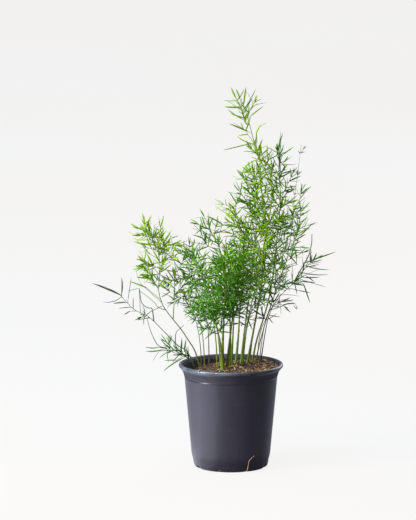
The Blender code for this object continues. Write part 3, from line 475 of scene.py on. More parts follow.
def fineSoil(x, y):
    (broad, small), (high, low) = soil["fineScales"], soil["fineHeights"]
    fine = noise.noise(Vector((x, y, 0.01)) * broad) * high + noise.noise(Vector((x, y, 0.02)) * small) * low
    edge = max(0.0, (math.hypot(x, y) - soil["edge"] + soil["edgeOver"]) / soil["edgeOver"])
    return soilHeight(x, y) + fine - soil["edgeDrop"] * edge * edge


def soilShape():
    inset = pot["wall"] + soil["gap"]
    spare = pot["wall"] / 2 + soil["gap"]
    corner = (pot["wallFoot"] - pot["corner"], pot["corner"])
    profile = [(0.0, inset), (pot["boss"] - spare, inset), (pot["boss"] + pot["lift"] - spare, pot["lift"] + inset)]
    profile += [(pot["panel"] + spare, pot["lift"] + inset), (pot["ring"] + spare, inset)]
    profile += arc(corner, pot["corner"] - inset, -80, -12, 6) + kneePoints(inset)
    profile += [(wallRadius(soil["shoulder"]) - inset, soil["shoulder"]), (soil["edge"], soil["edgeHeight"])]
    profile += [(soil["edge"] * (1 - i / soil["rings"]), soil["level"]) for i in range(soil["rings"])]
    bm = spunShape(profile + [(0.0, soil["level"])], soil["sides"])
    for v in bm.verts:
        if v.co.z > soil["level"] - soil["gap"]:
            v.co.z = fineSoil(v.co.x, v.co.y)
            wider = min(soil["widenMost"], (v.co.z - soil["widenAbove"]) * soil["widenBy"])
            widen = max(0.0, wider) / soil["edge"]
            v.co.x, v.co.y = v.co.x * (1 + widen), v.co.y * (1 + widen)
    bmesh.ops.triangulate(bm, faces=[f for f in bm.faces if f.calc_center_median().z > soil["edgeHeight"]])
    return bm


soilBm = soilShape()
ground = BVHTree.FromBMesh(soilBm)


def groundHeight(x, y):
    return ground.ray_cast(Vector((x, y, 0.2)), Vector((0, 0, -1)))[0].z


addPiece("pottingMixFill", soilBm, mixFinish, ["potting_mix"], smoothAngle=50)


# a small template mesh that is stamped many times, each time turned, sized and tinted
class Stamp:
    def __init__(self, name, bm):
        self.mesh = bpy.data.meshes.new(name)
        bmesh.ops.recalc_face_normals(bm, faces=bm.faces)
        bm.to_mesh(self.mesh)
        bm.free()
        self.mesh.shade_smooth()
        self.mesh.attributes.new("tint", "FLOAT_COLOR", "POINT")
        self.points = np.zeros(len(self.mesh.vertices) * 3, dtype=np.float32)
        self.mesh.vertices.foreach_get("co", self.points)
        self.points = self.points.reshape(-1, 3).astype(float)

    def put(self, bm, points, colour):
        tint = np.tile(np.array((*colour, 1.0)), (len(points), 1))
        self.mesh.vertices.foreach_set("co", points.astype(np.float32).ravel())
        self.mesh.attributes["tint"].data.foreach_set("color", tint.astype(np.float32).ravel())
        bm.from_mesh(self.mesh)


def crumbStamp(name, subdivisions, seed, roughness):
    draw = random.Random(seed)
    bm = bmesh.new()
    bmesh.ops.create_icosphere(bm, subdivisions=subdivisions, radius=1)
    for v in bm.verts:
        v.co *= draw.uniform(1 - roughness, 1)
    return Stamp(name, bm)


def splinterStamp(seed):
    draw = random.Random(seed)
    bm = bmesh.new()
    bmesh.ops.create_cube(bm, size=2)
    bmesh.ops.bevel(bm, geom=list(bm.edges), offset=0.35, offset_type="OFFSET", segments=1, profile=0.5,
                    affect="EDGES", material=-1)
    for v in bm.verts:
        v.co = Vector(c * draw.uniform(0.82, 1.0) for c in v.co)
    return Stamp("splinter", bm)


def scatterOn(bm, stamp, spot, half, sink, draw, colour):
    turn = Matrix.Rotation(draw.uniform(0, 2 * math.pi), 3, "Z") @ Matrix.Rotation(draw.uniform(-0.4, 0.4), 3, "X")
    turn = turn @ Matrix.Rotation(draw.uniform(-0.4, 0.4), 3, "Y")
    points = (stamp.points * np.array(half)) @ np.array(turn).T
    stamp.put(bm, points + np.array((*spot, groundHeight(*spot) + half[2] * (1 - sink))), colour)


def varied(colour, draw, spread):
    light = draw.uniform(1 - spread, 1 + spread)
    return tuple(min(1.0, max(0.0, c * light * draw.uniform(1 - spread / 4, 1 + spread / 4))) for c in colour)


litter = dict(seed=11, kinds=[
    dict(name="mixCrumbs", count=2600, size=(0.0006, 0.0017), sides=((0.7, 1.5), (0.6, 1.0), (0.5, 0.8)),
         reach=0.0690, rightward=0.0, sink=0.5, spread=0.3, slot="potting_mix", nodes=[],
         colours=[(0.034, 0.018, 0.020), (0.075, 0.038, 0.034), (0.070, 0.030, 0.055), (0.20, 0.11, 0.055)]),
    dict(name="barkBits", count=260, size=(0.0012, 0.0032), sides=((0.8, 1.3), (0.35, 0.7), (0.2, 0.4)),
         reach=0.0660, rightward=0.75, sink=0.25, spread=0.25, slot="bark",
         nodes=["bark_chip_01", "bark_chip_02", "bark_chip_03", "bark_chip_04"],
         colours=[(0.22, 0.10, 0.050), (0.38, 0.20, 0.080), (0.50, 0.34, 0.085), (0.10, 0.045, 0.060),
                  (0.56, 0.40, 0.20)]),
    dict(name="perliteGrains", count=70, size=(0.0007, 0.0014), sides=(None, (0.8, 1.0), (0.7, 0.9)),
         reach=0.0665, rightward=0.9, sink=0.3, spread=0.12, slot="perlite",
         nodes=["perlite_grain_01", "perlite_grain_02", "perlite_grain_03", "perlite_grain_04"],
         colours=[(0.66, 0.60, 0.50), (0.60, 0.46, 0.20), (0.62, 0.50, 0.16)])])


def randomSpot(draw, reach, rightward):
    while True:
        x, y = draw.uniform(-reach, reach), draw.uniform(-reach, reach)
        if math.hypot(x, y) < reach + 0.03 * x and draw.random() > rightward * (0.5 - x / (2 * reach)):
            return x, y


def scatterLitter(look):
    draw = random.Random(look["seed"])
    crumbs = [crumbStamp("crumb", subdivisions=1, seed=21 + i, roughness=0.35) for i in range(3)]
    stamps = [crumbs, [splinterStamp(seed=31)], [crumbStamp("grain", subdivisions=2, seed=41, roughness=0.16)]]
    for kind, shapes, finish in zip(look["kinds"], stamps, (crumbFinish, crumbFinish, grainFinish)):
        bm = bmesh.new()
        for i in range(kind["count"]):
            size = draw.uniform(*kind["size"])
            half = [size * draw.uniform(*side) if side else size for side in kind["sides"]]
            spot = randomSpot(draw, kind["reach"], kind["rightward"])
            colour = varied(draw.choice(kind["colours"]), draw, kind["spread"])
            scatterOn(bm, shapes[i % len(shapes)], spot, half, kind["sink"], draw, colour)
        addPiece(kind["name"], bm, finish, kind["nodes"])


scatterLitter(litter)
print("potting mix made")


# smooth lines, whose direction is read over a short stretch, and the shoots that follow them
wayStretch = 0.0015


def catmullRom(points, position):
    i = min(int(position), len(points) - 2)
    t = position - i
    before = points[i - 1] if i > 0 else points[0] * 2 - points[1]
    after = points[i + 2] if i + 2 < len(points) else points[-1] * 2 - points[-2]
    a, b = points[i], points[i + 1]
    cubic = 3 * a - before - 3 * b + after
    square = 2 * before - 5 * a + 4 * b - after
    return 0.5 * (2 * a + (b - before) * t + square * t * t + cubic * t ** 3)


class SmoothLine:
    def __init__(self, points, fine=12):
        points = [Vector(p) for p in points]
        steps = fine * (len(points) - 1)
        self.points = [catmullRom(points, i / fine) for i in range(steps + 1)]
        self.marks = [0.0]
        for a, b in zip(self.points, self.points[1:]):
            self.marks.append(self.marks[-1] + (b - a).length)
        self.length = self.marks[-1]

    def at(self, distance):
        distance = min(max(distance, 0.0), self.length)
        i = min(int(np.searchsorted(self.marks, distance, side="right")) - 1, len(self.points) - 2)
        share = (distance - self.marks[i]) / (self.marks[i + 1] - self.marks[i])
        return self.points[i].lerp(self.points[i + 1], share)

    def way(self, distance):
        return (self.at(distance + wayStretch) - self.at(distance - wayStretch)).normalized()


def across(way):
    side = way.cross(Vector((0, 0, 1)))
    if side.length < 0.2:
        side = way.cross(Vector((0, 1, 0)))
    side.normalize()
    return side, way.cross(side)


# a shoot starts as a short prism, and its end face is extruded ring by ring along a line
def sweepTube(bm, line, radiusAt, sides, step, tintAt, pointed=False):
    tint = bm.verts.layers.float_color.get("tint") or bm.verts.layers.float_color.new("tint")
    count = max(3, round(line.length / step))
    way = line.way(0)
    first = line.at(line.length / count)
    place = Matrix.LocRotScale((line.at(0) + first) / 2, way.to_track_quat("Z", "Y"), None)
    made = bmesh.ops.create_cone(bm, cap_ends=True, segments=sides, radius1=radiusAt(0), radius2=radiusAt(1 / count),
                                 depth=(first - line.at(0)).length, matrix=place)["verts"]
    for v in made:
        v[tint] = (*tintAt(0), 1)
    end = max({f for v in made for f in v.link_faces}, key=lambda f: f.calc_center_median().dot(way))
    centre = first
    for i in range(2, count + 1):
        share = i / count
        here, way = line.at(line.length * share), line.way(line.length * share)
        outward = end.verts[0].co - centre
        outward = (outward - way * outward.dot(way)).normalized()
        sideways = way.cross(outward)
        end = bmesh.ops.extrude_discrete_faces(bm, faces=[end])["faces"][0]
        radius = radiusAt(share)
        for j, v in enumerate(end.verts):
            angle = 2 * math.pi * j / sides
            v.co = here + (outward * math.cos(angle) + sideways * math.sin(angle)) * radius
            v[tint] = (*tintAt(share), 1)
        centre = here
    if pointed:
        tip = bmesh.ops.poke(bm, faces=[end])["verts"][0]
        tip.co = centre + way * radiusAt(1) * 2.5
        tip[tint] = (*tintAt(1), 1)


# roots: one that has grown out of a drain hole and up the wall, given by turn, distance out and height, and one
# that lies on the mix and over the lip
roots = dict(
    seed=5, knots=40, knotDraw=(0.85, 1.15), tintSpread=0.12, lift=0.0012,
    drain=dict(radius=0.00072, thinner=0.4, sides=10, step=0.0008, colour=(0.50, 0.36, 0.31), route=[
        (-65.0, 0.0566, 0.0026), (-65.0, 0.0580, 0.0018), (-64.6, 0.0594, 0.0028), (-64.0, 0.0602, 0.0070),
        (-63.4, 0.0614, 0.0130), (-63.0, 0.0629, 0.0185), (-60.0, 0.0636, 0.0230), (-55.5, 0.0640, 0.0262)]),
    surface=dict(radius=0.0008, thinner=0.5, sides=8, step=0.0010, colour=(0.50, 0.40, 0.30), route=[
        (-0.002, -0.004), (-0.007, -0.009), (-0.013, -0.012), (-0.019, -0.010), (-0.024, -0.014), (-0.031, -0.024),
        (-0.037, -0.037), (-0.0425, -0.0475)], lipRoute=[
        (-0.0445, -0.0560, 0.1645), (-0.0475, -0.0610, 0.1668), (-0.0505, -0.0645, 0.1662),
        (-0.0520, -0.0668, 0.1630)]))


def growRoots(look):
    draw = random.Random(look["seed"])
    knots = [draw.uniform(*look["knotDraw"]) for i in range(look["knots"])]
    drain, surface = look["drain"], look["surface"]
    upWall = [(r * math.cos(math.radians(turn)), r * math.sin(math.radians(turn)), z) for turn, r, z in drain["route"]]
    onMix = [(x, y, groundHeight(x, y) + look["lift"]) for x, y in surface["route"]] + surface["lipRoute"]
    for name, node, root, points in (("drainRoot", "drain_root", drain, upWall),
                                     ("surfaceRoot", "surface_root", surface, onMix)):
        def radiusAt(s):
            return root["radius"] * (1 - root["thinner"] * s) * knots[int(s * (look["knots"] - 1))]
        bm = bmesh.new()
        sweepTube(bm, SmoothLine(points), radiusAt, root["sides"], root["step"],
                  lambda s: varied(root["colour"], draw, look["tintSpread"]), pointed=True)
        addPiece(name, bm, rootFinish, [node], smoothAngle=60)


growRoots(roots)
print("roots made")


# one entry for each frond: its greens, where its leaves begin, its route from the mix to its tip, and the spurs
# and twigs that stand clear of the rest. Places are in tenths of a millimetre, and a route's first one has no
# height, because the cane starts in the mix. A spur is the share of the cane where it starts, its depth y and
# then its points x, z; a twig has its radius and its leafless share before the depth
tenth = 10000
usual = dict(full=1, width=1, swell=0.25, paint=None, bare=(), spurs=(), twigs=())
fronds = {
    "tallLeader": dict(
        tone="bright", cane="lime", radius=0.0016, leafy=0.34,
        reach=(0.042, 0.014), needle=0.024, full=1.15, bare=[(0.8, 1.0)], width=1.1,
        route=[(240, 180), (370, 140, 2220), (480, 80, 2910), (510, 20, 3480), (610, -40, 4050),
               (640, -60, 4460), (520, -80, 4780), (380, -80, 5130), (300, -60, 5430), (180, -40, 5820)],
        spurs=[(0.983, -40, (134, 5883), (71, 6034)), (0.99, -42, (197, 5796), (235, 6070)),
               (0.975, -45, (218, 5724), (332, 5919), (388, 6042)),
               (0.916, -55, (208, 5512), (191, 5655), (77, 5886)), (0.964, -42, (66, 5761), (-63, 5841)),
               (0.924, -52, (161, 5561), (-60, 5714)), (0.884, -64, (261, 5362), (-35, 5485)),
               (0.942, -52, (261, 5597), (283, 5669), (437, 5813)),
               (0.935, -52, (297, 5597), (403, 5684), (515, 5763)),
               (0.841, -78, (409, 5199), (444, 5446), (564, 5494)),
               (0.843, -79, (360, 5164), (246, 5193), (77, 5301)), (0.838, -78, (303, 5172), (-148, 5056)),
               (0.774, -82, (388, 4905), (303, 4876), (161, 4654))],
        twigs=[(0.671, 0.0006, 0.4, -60, (461, 4556), (366, 4685)),
               (0.7, 0.0006, 0.4, -69, (651, 4622), (556, 4816), (493, 4977)),
               (0.919, 0.0012, 0.2, -55, (224, 5489), (185, 5651), (129, 5779), (74, 5892)),
               (0.941, 0.0007, 0.3, -52, (303, 5714), (366, 5811)),
               (0.845, 0.0005, 0.6, -78, (272, 5301), (193, 5413)),
               (0.757, 0.0007, 0.5, -81, (429, 4947), (398, 5108))],
    ),
    "secondLeader": dict(
        tone="green", cane="plain", radius=0.0013, leafy=0.34, reach=(0.036, 0.012), needle=0.023, full=1, width=1.05,
        route=[(320, 260), (410, 250, 1980), (530, 210, 2380), (610, 180, 2700), (680, 160, 3140),
               (730, 140, 3690), (780, 120, 4270), (750, 100, 4690), (770, 60, 5120)],
        spurs=[(0.938, 78, (712, 4952), (755, 5140), (783, 5355)),
               (0.952, 74, (729, 4964), (761, 5141), (818, 5326)), (0.944, 74, (824, 4975), (981, 5096)),
               (0.914, 88, (783, 4842), (966, 4950)), (0.875, 100, (783, 4688), (861, 4775))],
        twigs=[(0.765, 0.0007, 0.3, 120, (887, 4487), (966, 4648))],
    ),
    "farRightWisp": dict(
        tone="dark", cane="grey", radius=0.0006, leafy=0.44, reach=(0.02, 0.008), needle=0.01, full=0.35, width=0.7,
        route=[(410, 400), (460, 440, 2020), (570, 500, 2310), (720, 560, 2730), (880, 620, 3200),
               (970, 640, 3750), (1010, 640, 4230), (1060, 620, 4610), (1110, 580, 5060)],
        spurs=[(0.775, 639, (1045, 4257), (1150, 4263), (1227, 4328)), (0.719, 642, (1050, 4092), (1192, 4205)),
               (0.704, 642, (1061, 4018), (1247, 4055))],
    ),
    "rightShoulder": dict(
        tone="green", cane="plain", radius=0.0009, leafy=0.5, reach=(0.036, 0.016), needle=0.022, full=0.95,
        route=[(360, 120), (500, 40, 2140), (660, -40, 2670), (820, -120, 3180), (960, -180, 3540),
               (1120, -220, 3960)],
        spurs=[(0.894, -201, (1086, 3730), (1263, 3901)), (0.686, -147, (1030, 3288), (981, 3544)),
               (0.677, -147, (1042, 3257), (861, 3452)), (0.668, -126, (900, 3192), (801, 3366)),
               (0.643, -120, (919, 3158), (709, 3190)), (0.58, -88, (808, 2978), (709, 3152))],
        twigs=[(0.911, 0.0007, 0.3, -201, (1077, 3972), (1093, 4133)),
               (0.929, 0.0007, 0.3, -220, (966, 4105), (1061, 4266), (1108, 4443))],
    ),
    "rightArch": dict(
        tone="dark", cane="grey", radius=0.0008, leafy=0.5, reach=(0.022, 0.012), needle=0.024, full=0.16,
        route=[(460, 300), (540, 240, 2080), (600, 140, 2380), (700, 40, 2620), (860, -60, 2830),
               (1030, -140, 2990), (1210, -200, 3120), (1400, -250, 3200)],
        spurs=[(0.833, -205, (1153, 3290), (1408, 3385), (1656, 3473)),
               (0.838, -200, (1153, 3257), (1303, 3207), (1555, 3186)),
               (0.805, -172, (1061, 3149), (1303, 3098), (1544, 3106)), (0.849, -177, (1153, 3052), (1393, 3055)),
               (0.806, -157, (1102, 2992), (1334, 2971)), (0.877, -191, (1183, 3081), (1314, 2987)),
               (0.823, -195, (1273, 2969), (1495, 2901)), (0.79, -162, (1140, 2952), (1183, 2828), (1243, 2643)),
               (0.705, -116, (1052, 2840), (1263, 2798)), (0.598, -3, (745, 2740), (900, 2749), (1093, 2719)),
               (0.483, 98, (628, 2487), (777, 2534), (919, 2602)), (0.439, 132, (598, 2398), (790, 2368)),
               (0.748, -146, (971, 3113), (951, 3328))],
        twigs=[(0.76, 0.0011, 2, -116, (1061, 3101), (1140, 3246), (1219, 3391), (1266, 3584), (1271, 3729)),
               (0.741, 0.0006, 0.6, -103, (1061, 3050), (1187, 3211), (1282, 3308))],
    ),
    "rightLow": dict(
        tone="dark", cane="grey", radius=0.0007, leafy=0.52, reach=(0.02, 0.012), needle=0.02, full=0.25,
        route=[(430, 20), (520, -40, 2220), (640, -100, 2560), (800, -180, 2700), (960, -240, 2680),
               (1060, -280, 2580)],
        spurs=[(0.769, -161, (759, 2664), (992, 2699)), (0.973, -277, (1030, 2563), (971, 2636)),
               (0.558, -64, (578, 2407), (669, 2295))],
    ),
    "upperMiddle": dict(
        tone="green", cane="lime", radius=0.0014, leafy=0.42,
        reach=(0.042, 0.018), needle=0.023, full=1.9, width=1.05,
        route=[(150, 240), (200, 260, 1990), (270, 280, 2540), (340, 280, 3100), (390, 260, 3670),
               (420, 240, 4150), (360, 200, 4620)],
        spurs=[(0.804, 240, (272, 4157), (35, 4302)), (0.801, 242, (303, 4098), (120, 4372)),
               (0.703, 257, (325, 3772), (-13, 3801), (-196, 3838))],
        twigs=[(0.805, 0.0009, 0.3, 242, (303, 4098), (208, 4253), (129, 4366))],
    ),
    "upperLeft": dict(
        tone="green", cane="lime", radius=0.0013, leafy=0.38,
        reach=(0.042, 0.02), needle=0.022, full=1.45, paint="sunny", swell=0.8,
        route=[(70, 300), (120, 340, 2050), (150, 380, 2610), (200, 400, 3170), (180, 380, 3600),
               (100, 340, 3930), (-30, 280, 4180)],
        spurs=[(0.898, 321, (-21, 3968), (-148, 4039), (-275, 4140)), (0.747, 372, (2, 3669), (-379, 3748))],
    ),
    "middleLeftTip": dict(
        tone="green", cane="lime", radius=0.0014, leafy=0.36, reach=(0.042, 0.018), needle=0.021, full=0.7, swell=0.7,
        route=[(-30, 100), (-10, 60, 2030), (-30, 10, 2590), (-90, -40, 3090), (-180, -80, 3500),
               (-310, -120, 3750), (-410, -140, 3890)],
        spurs=[(0.857, -124, (-139, 3900), (-265, 3973), (-387, 4029)), (0.915, -124, (-393, 3741), (-486, 3821)),
               (0.865, -114, (-393, 3639), (-605, 3732))],
        twigs=[(0.811, 0.0006, 0.4, -94, (-344, 3532), (-423, 3628), (-486, 3789)),
               (0.92, 0.0008, 0.3, -120, (-360, 3891), (-423, 4020))],
    ),
    "frontBush": dict(
        tone="bright", cane="lime", radius=0.0019, leafy=0.46,
        reach=(0.042, 0.022), needle=0.021, full=3.2, paint="lush", swell=0.75,
        route=[(-140, -60), (-130, -140, 1980), (-110, -240, 2480), (-80, -380, 2900), (-80, -540, 3220),
               (-120, -700, 3420)],
    ),
    "frontBushRight": dict(
        tone="bright", cane="lime", radius=0.0017, leafy=0.42,
        reach=(0.04, 0.02), needle=0.021, full=2.5, paint="lush", swell=0.4,
        route=[(-70, -20), (-20, -90, 2040), (40, -190, 2520), (100, -320, 2980), (160, -480, 3340),
               (200, -640, 3580)],
    ),
    "centreLeftArch": dict(
        tone="green", cane="plain", radius=0.001, leafy=0.44,
        reach=(0.034, 0.018), needle=0.02, full=1.6, paint="lush",
        route=[(-210, 20), (-240, -40, 2040), (-300, -80, 2460), (-380, -140, 2840), (-480, -200, 3180),
               (-580, -240, 3420), (-660, -260, 3560)],
        twigs=[(0.657, 0.0006, 0.3, -166, (-549, 2950), (-676, 2837), (-786, 2724))],
    ),
    "leftPlume": dict(
        tone="bright", cane="plain", radius=0.001, leafy=0.62,
        reach=(0.034, 0.018), needle=0.023, full=1.15, paint="sunny", width=1.15,
        route=[(-480, 380), (-560, 320, 1760), (-690, 240, 2000), (-800, 160, 2180), (-930, 70, 2360),
               (-1070, -30, 2580), (-1140, -110, 2840), (-1120, -170, 3120), (-1130, -220, 3380),
               (-1220, -280, 3660), (-1380, -340, 3860)],
        spurs=[(0.971, -340, (-1459, 3878), (-1579, 3947)), (0.95, -335, (-1450, 3762), (-1642, 3838)),
               (0.929, -315, (-1244, 3837), (-1314, 3985)), (0.909, -320, (-1202, 3908), (-1129, 3961)),
               (0.821, -260, (-1056, 3607), (-1048, 3844)),
               (0.814, -249, (-1071, 3547), (-996, 3745), (-894, 3876)),
               (0.906, -295, (-1304, 3675), (-1582, 3706)), (0.869, -265, (-1213, 3592), (-1519, 3635)),
               (0.785, -239, (-1270, 3437), (-1382, 3569)),
               (0.693, -187, (-1219, 3209), (-1434, 3331), (-1492, 3336)),
               (0.635, -137, (-1134, 2954), (-954, 2806)),
               (0.517, -127, (-1418, 2942), (-1465, 3055), (-1503, 3161)),
               (0.538, -121, (-1341, 2888), (-1607, 2989))],
        twigs=[(0.386, 0.0008, 0.45, 62, (-897, 2646), (-889, 2856), (-889, 3049)),
               (0.463, 0.0007, 2, -30, (-1150, 2552), (-1197, 2616), (-1323, 2729), (-1434, 2810)),
               (0.769, 0.0007, 0.3, -211, (-1276, 3265), (-1386, 3233)),
               (0.764, 0.001, 0.3, -220, (-1039, 3396), (-1055, 3557), (-1086, 3718), (-1110, 3863)),
               (0.809, 0.0008, 0.3, -244, (-1071, 3530), (-960, 3594), (-850, 3578)),
               (0.862, 0.0009, 0.3, -260, (-1244, 3726), (-1276, 3839)),
               (0.608, 0.0008, 0.3, -132, (-1197, 2943), (-1276, 3024), (-1323, 3153)),
               (0.703, 0.0008, 0.3, -179, (-1197, 3098), (-1292, 3098))],
    ),
    "leftMiddle": dict(
        tone="green", cane="plain", radius=0.0008, leafy=0.42, reach=(0.034, 0.018), needle=0.02, full=0.5,
        route=[(-410, 320), (-440, 310, 1960), (-500, 290, 2270), (-640, 220, 2550), (-770, 140, 2870),
               (-870, 60, 3180), (-940, 0, 3450)],
        spurs=[(0.907, 0, (-936, 3651), (-826, 3690)), (0.971, 0, (-886, 3477), (-799, 3633))],
        twigs=[(0.588, 0.0007, 0.3, 167, (-865, 2705), (-771, 2850), (-676, 2963)),
               (0.91, 0.0006, 0.3, 34, (-834, 3184), (-739, 3087))],
    ),
    "farLeftWisp": dict(
        tone="dark", cane="grey", radius=0.0008, leafy=0.6, reach=(0.016, 0.01), needle=0.016, full=0.1,
        route=[(-530, 270), (-680, 210, 1780), (-840, 140, 1910), (-1040, 60, 2130), (-1300, -20, 2400),
               (-1510, -60, 2510), (-1640, -80, 2640), (-1780, -100, 2790), (-1960, -100, 2880),
               (-2100, -100, 2930)],
        spurs=[(0.81, -96, (-1723, 2775), (-1723, 3049)), (0.747, -82, (-1625, 2667), (-1592, 2885), (-1566, 3068)),
               (0.684, -64, (-1538, 2527), (-1538, 2720)),
               (0.799, -93, (-1734, 2726), (-1885, 2645), (-2035, 2656)),
               (0.756, -82, (-1655, 2643), (-1862, 2622)), (0.708, -71, (-1584, 2563), (-1781, 2539)),
               (0.665, -66, (-1595, 2498), (-1688, 2438)), (0.556, -29, (-1375, 2371), (-1468, 2349)),
               (0.636, -84, (-1445, 2869), (-1642, 2821)), (0.172, 193, (-739, 1798), (-707, 1996)),
               (0.809, -95, (-1726, 2754), (-1971, 2866), (-2198, 2952))],
        twigs=[(0.521, 0.001, 2, -25, (-1244, 2527), (-1317, 2543), (-1410, 2631), (-1438, 2833)),
               (0.56, 0.0009, 2, -29, (-1375, 2375), (-1282, 2471), (-1181, 2526), (-1086, 2573)),
               (0.295, 0.0008, 2, 107, (-865, 2121), (-750, 2234))],
    ),
    "lowLeft": dict(
        tone="green", cane="grey", radius=0.0008, leafy=0.48, reach=(0.018, 0.012), needle=0.02, full=0.3,
        route=[(-420, 120), (-510, 100, 1650), (-680, 60, 1760), (-840, 10, 1800), (-970, -40, 1860),
               (-1060, -80, 1960)],
        spurs=[(0.895, -80, (-1143, 1918), (-1358, 1927)), (0.87, -70, (-1097, 1878), (-1244, 1851), (-1358, 1861)),
               (0.539, 14, (-854, 1695), (-1055, 1684)), (0.49, 40, (-761, 1719), (-993, 1577), (-1071, 1507)),
               (0.86, -51, (-1007, 1868), (-982, 1670)), (0.565, 23, (-796, 1842), (-774, 2066)),
               (0.837, -70, (-1121, 1861), (-1236, 1684))],
        twigs=[(0.914, 0.0008, 2, -80, (-1143, 1945), (-1225, 2079), (-1282, 2228), (-1317, 2369)),
               (0.484, 0.001, 0.3, 52, (-865, 1826), (-1007, 1971)),
               (0.353, 0.0008, 0.3, 75, (-644, 1693), (-739, 1757), (-834, 1854))],
    ),
    "leftBare": dict(
        tone="dark", cane="grey", radius=0.0007, leafy=0.54, reach=(0.024, 0.014), needle=0.018, full=0.4,
        route=[(-460, 210), (-480, 170, 1860), (-530, 120, 2210), (-590, 70, 2420), (-710, 10, 2630),
               (-860, -60, 2760), (-1020, -120, 2840)],
    ),
    "leftBack": dict(
        tone="dark", cane="grey", radius=0.0008, leafy=0.46, reach=(0.034, 0.018), needle=0.018, full=0.65,
        route=[(-340, 380), (-360, 400, 2110), (-400, 420, 2320), (-490, 440, 2600), (-610, 460, 2910),
               (-700, 460, 3180)],
        twigs=[(0.979, 0.0003, 0.9, 460, (-660, 3194), (-654, 3355), (-654, 3462))],
    ),
    "centreBack": dict(
        tone="dark", cane="lime", radius=0.0012, leafy=0.42, reach=(0.04, 0.02), needle=0.02, full=1.2, swell=0.9,
        route=[(0, 380), (30, 470, 1960), (50, 570, 2360), (30, 680, 2740), (-20, 800, 3120),
               (-100, 920, 3380)],
        spurs=[(0.979, 920, (-125, 3415), (-308, 3544))],
    ),
    "rightBack": dict(
        tone="green", cane="plain", radius=0.0009, leafy=0.38, reach=(0.038, 0.018), needle=0.02, full=0.8,
        route=[(290, 380), (350, 460, 2040), (420, 540, 2400), (520, 620, 2760), (670, 700, 3190),
               (810, 760, 3580), (920, 780, 3970)],
    ),
    "frontRightArch": dict(
        tone="green", cane="lime", radius=0.0013, leafy=0.48,
        reach=(0.032, 0.016), needle=0.021, full=0.95, swell=0.5,
        route=[(170, 40), (220, -80, 2020), (270, -200, 2400), (340, -370, 2740), (420, -560, 3000),
               (500, -760, 3160)],
    ),
    "backLeftArch": dict(
        tone="dark", cane="plain", radius=0.001, leafy=0.4, reach=(0.036, 0.018), needle=0.02, full=1, paint="lush",
        route=[(-160, 320), (-200, 460, 2000), (-280, 620, 2460), (-400, 800, 2840), (-540, 960, 3100),
               (-680, 1100, 3260)],
    ),
    "backRightLow": dict(
        tone="dark", cane="grey", radius=0.0008, leafy=0.42, reach=(0.034, 0.018), needle=0.019, full=0.5,
        route=[(180, 400), (230, 550, 1960), (330, 750, 2360), (460, 960, 2640), (600, 1120, 2800)],
    ),
    "frontLeftLow": dict(
        tone="green", cane="lime", radius=0.0015, leafy=0.48,
        reach=(0.036, 0.022), needle=0.021, full=3, paint="lush", swell=0.8,
        route=[(-110, -120), (-160, -230, 1960), (-240, -390, 2340), (-350, -570, 2620), (-470, -740, 2800)],
    ),
}

# each tone runs from a deep green to a light one; low in the plant both shift to cool. bright and sunny are painted
# sunlit copies of the green, and dark is a painted shaded copy, each given to whole fronds
tones = dict(bright=((0.120, 0.290, 0.002), (0.300, 0.450, 0.003)),
             green=((0.050, 0.185, 0.003), (0.155, 0.335, 0.004)),
             lush=((0.050, 0.215, 0.002), (0.175, 0.380, 0.003)),
             sunny=((0.165, 0.340, 0.006), (0.370, 0.540, 0.012)),
             dark=((0.022, 0.066, 0.012), (0.050, 0.150, 0.012)),
             cool=((0.018, 0.150, 0.018), (0.055, 0.270, 0.024)))
caneTones = dict(lime=((0.120, 0.215, 0.005), (0.215, 0.265, 0.010)),
                 plain=((0.240, 0.210, 0.030), (0.150, 0.260, 0.015)),
                 grey=((0.130, 0.110, 0.065), (0.075, 0.095, 0.045)))

# canes and their branchlets
growth = dict(seed=700, socket=0.009, taper=0.70, taperPower=1.2, swellReach=0.045, caneSides=10, ringStep=0.005,
              footColourOver=2.2, greenFrom=0.5, greenGain=1.2, goldenDeg=137.5, gapDraw=(0.8, 1.25), nodeGap=0.0105,
              lastNode=0.975, leanAtFootDeg=62, leanAtTipDeg=38, leanDrawDeg=(-10, 10), lengthAtFoot=0.55,
              lengthGain=1.8, lengthDraw=(0.75, 1.15), droop=(-0.12, 0.22), twigRadius=0.00052, twigSides=6,
              twigStep=0.0045, twigTint=0.75, twigLeafy=0.22, lastTuft=0.96, stalkRadius=0.00045, stalkSides=5,
              stalkStep=0.004, stalkTint=0.7, stalkFrom=0.0015)

# cladodes, and how far they may reach without leaving the plant's box or touching the pot
leaf = dict(gap=0.0056, leanDeg=(34, 68), spin=(-0.6, 0.6), spread=(0.9, 1.5), lengthDraw=(0.65, 1.15), tips=3,
            tipSpread=0.45, tipLength=(0.5, 0.9), faceBend=(-0.35, 0.35), flatBend=(-0.2, 0.2),
            width=(0.00080, 0.00115), leastWidth=0.70, widthGain=0.30, gainMost=1.8, thickness=0.0004,
            usualLength=0.018, lightPower=1.6, tintSpread=0.25, coolBelow=0.325, coolOver=0.085, coolMost=0.8,
            coolDraw=(0.5, 1), clearOfRim=0.003, lowest=0.01, topOf=0.6085,
            leftOf=-0.2285, rightOf=0.1655, frontOf=-0.0985, backOf=0.1425)
leafRings = (0.0, 0.10, 0.35, 0.68, 0.90, 1.0)
leafWidths = (0.45, 0.80, 1.0, 0.86, 0.45, 0.0)

# papery scales at the nodes of the bare cane; sizes are in cane radii
scaleLook = dict(first=0.022, gap=0.016, gapDraw=(0.8, 1.3), height=2.2, out=0.9, long=1.3, tilt=0.35, wide=0.75,
                 thick=0.22, colour=(0.26, 0.17, 0.08), tintSpread=0.3)


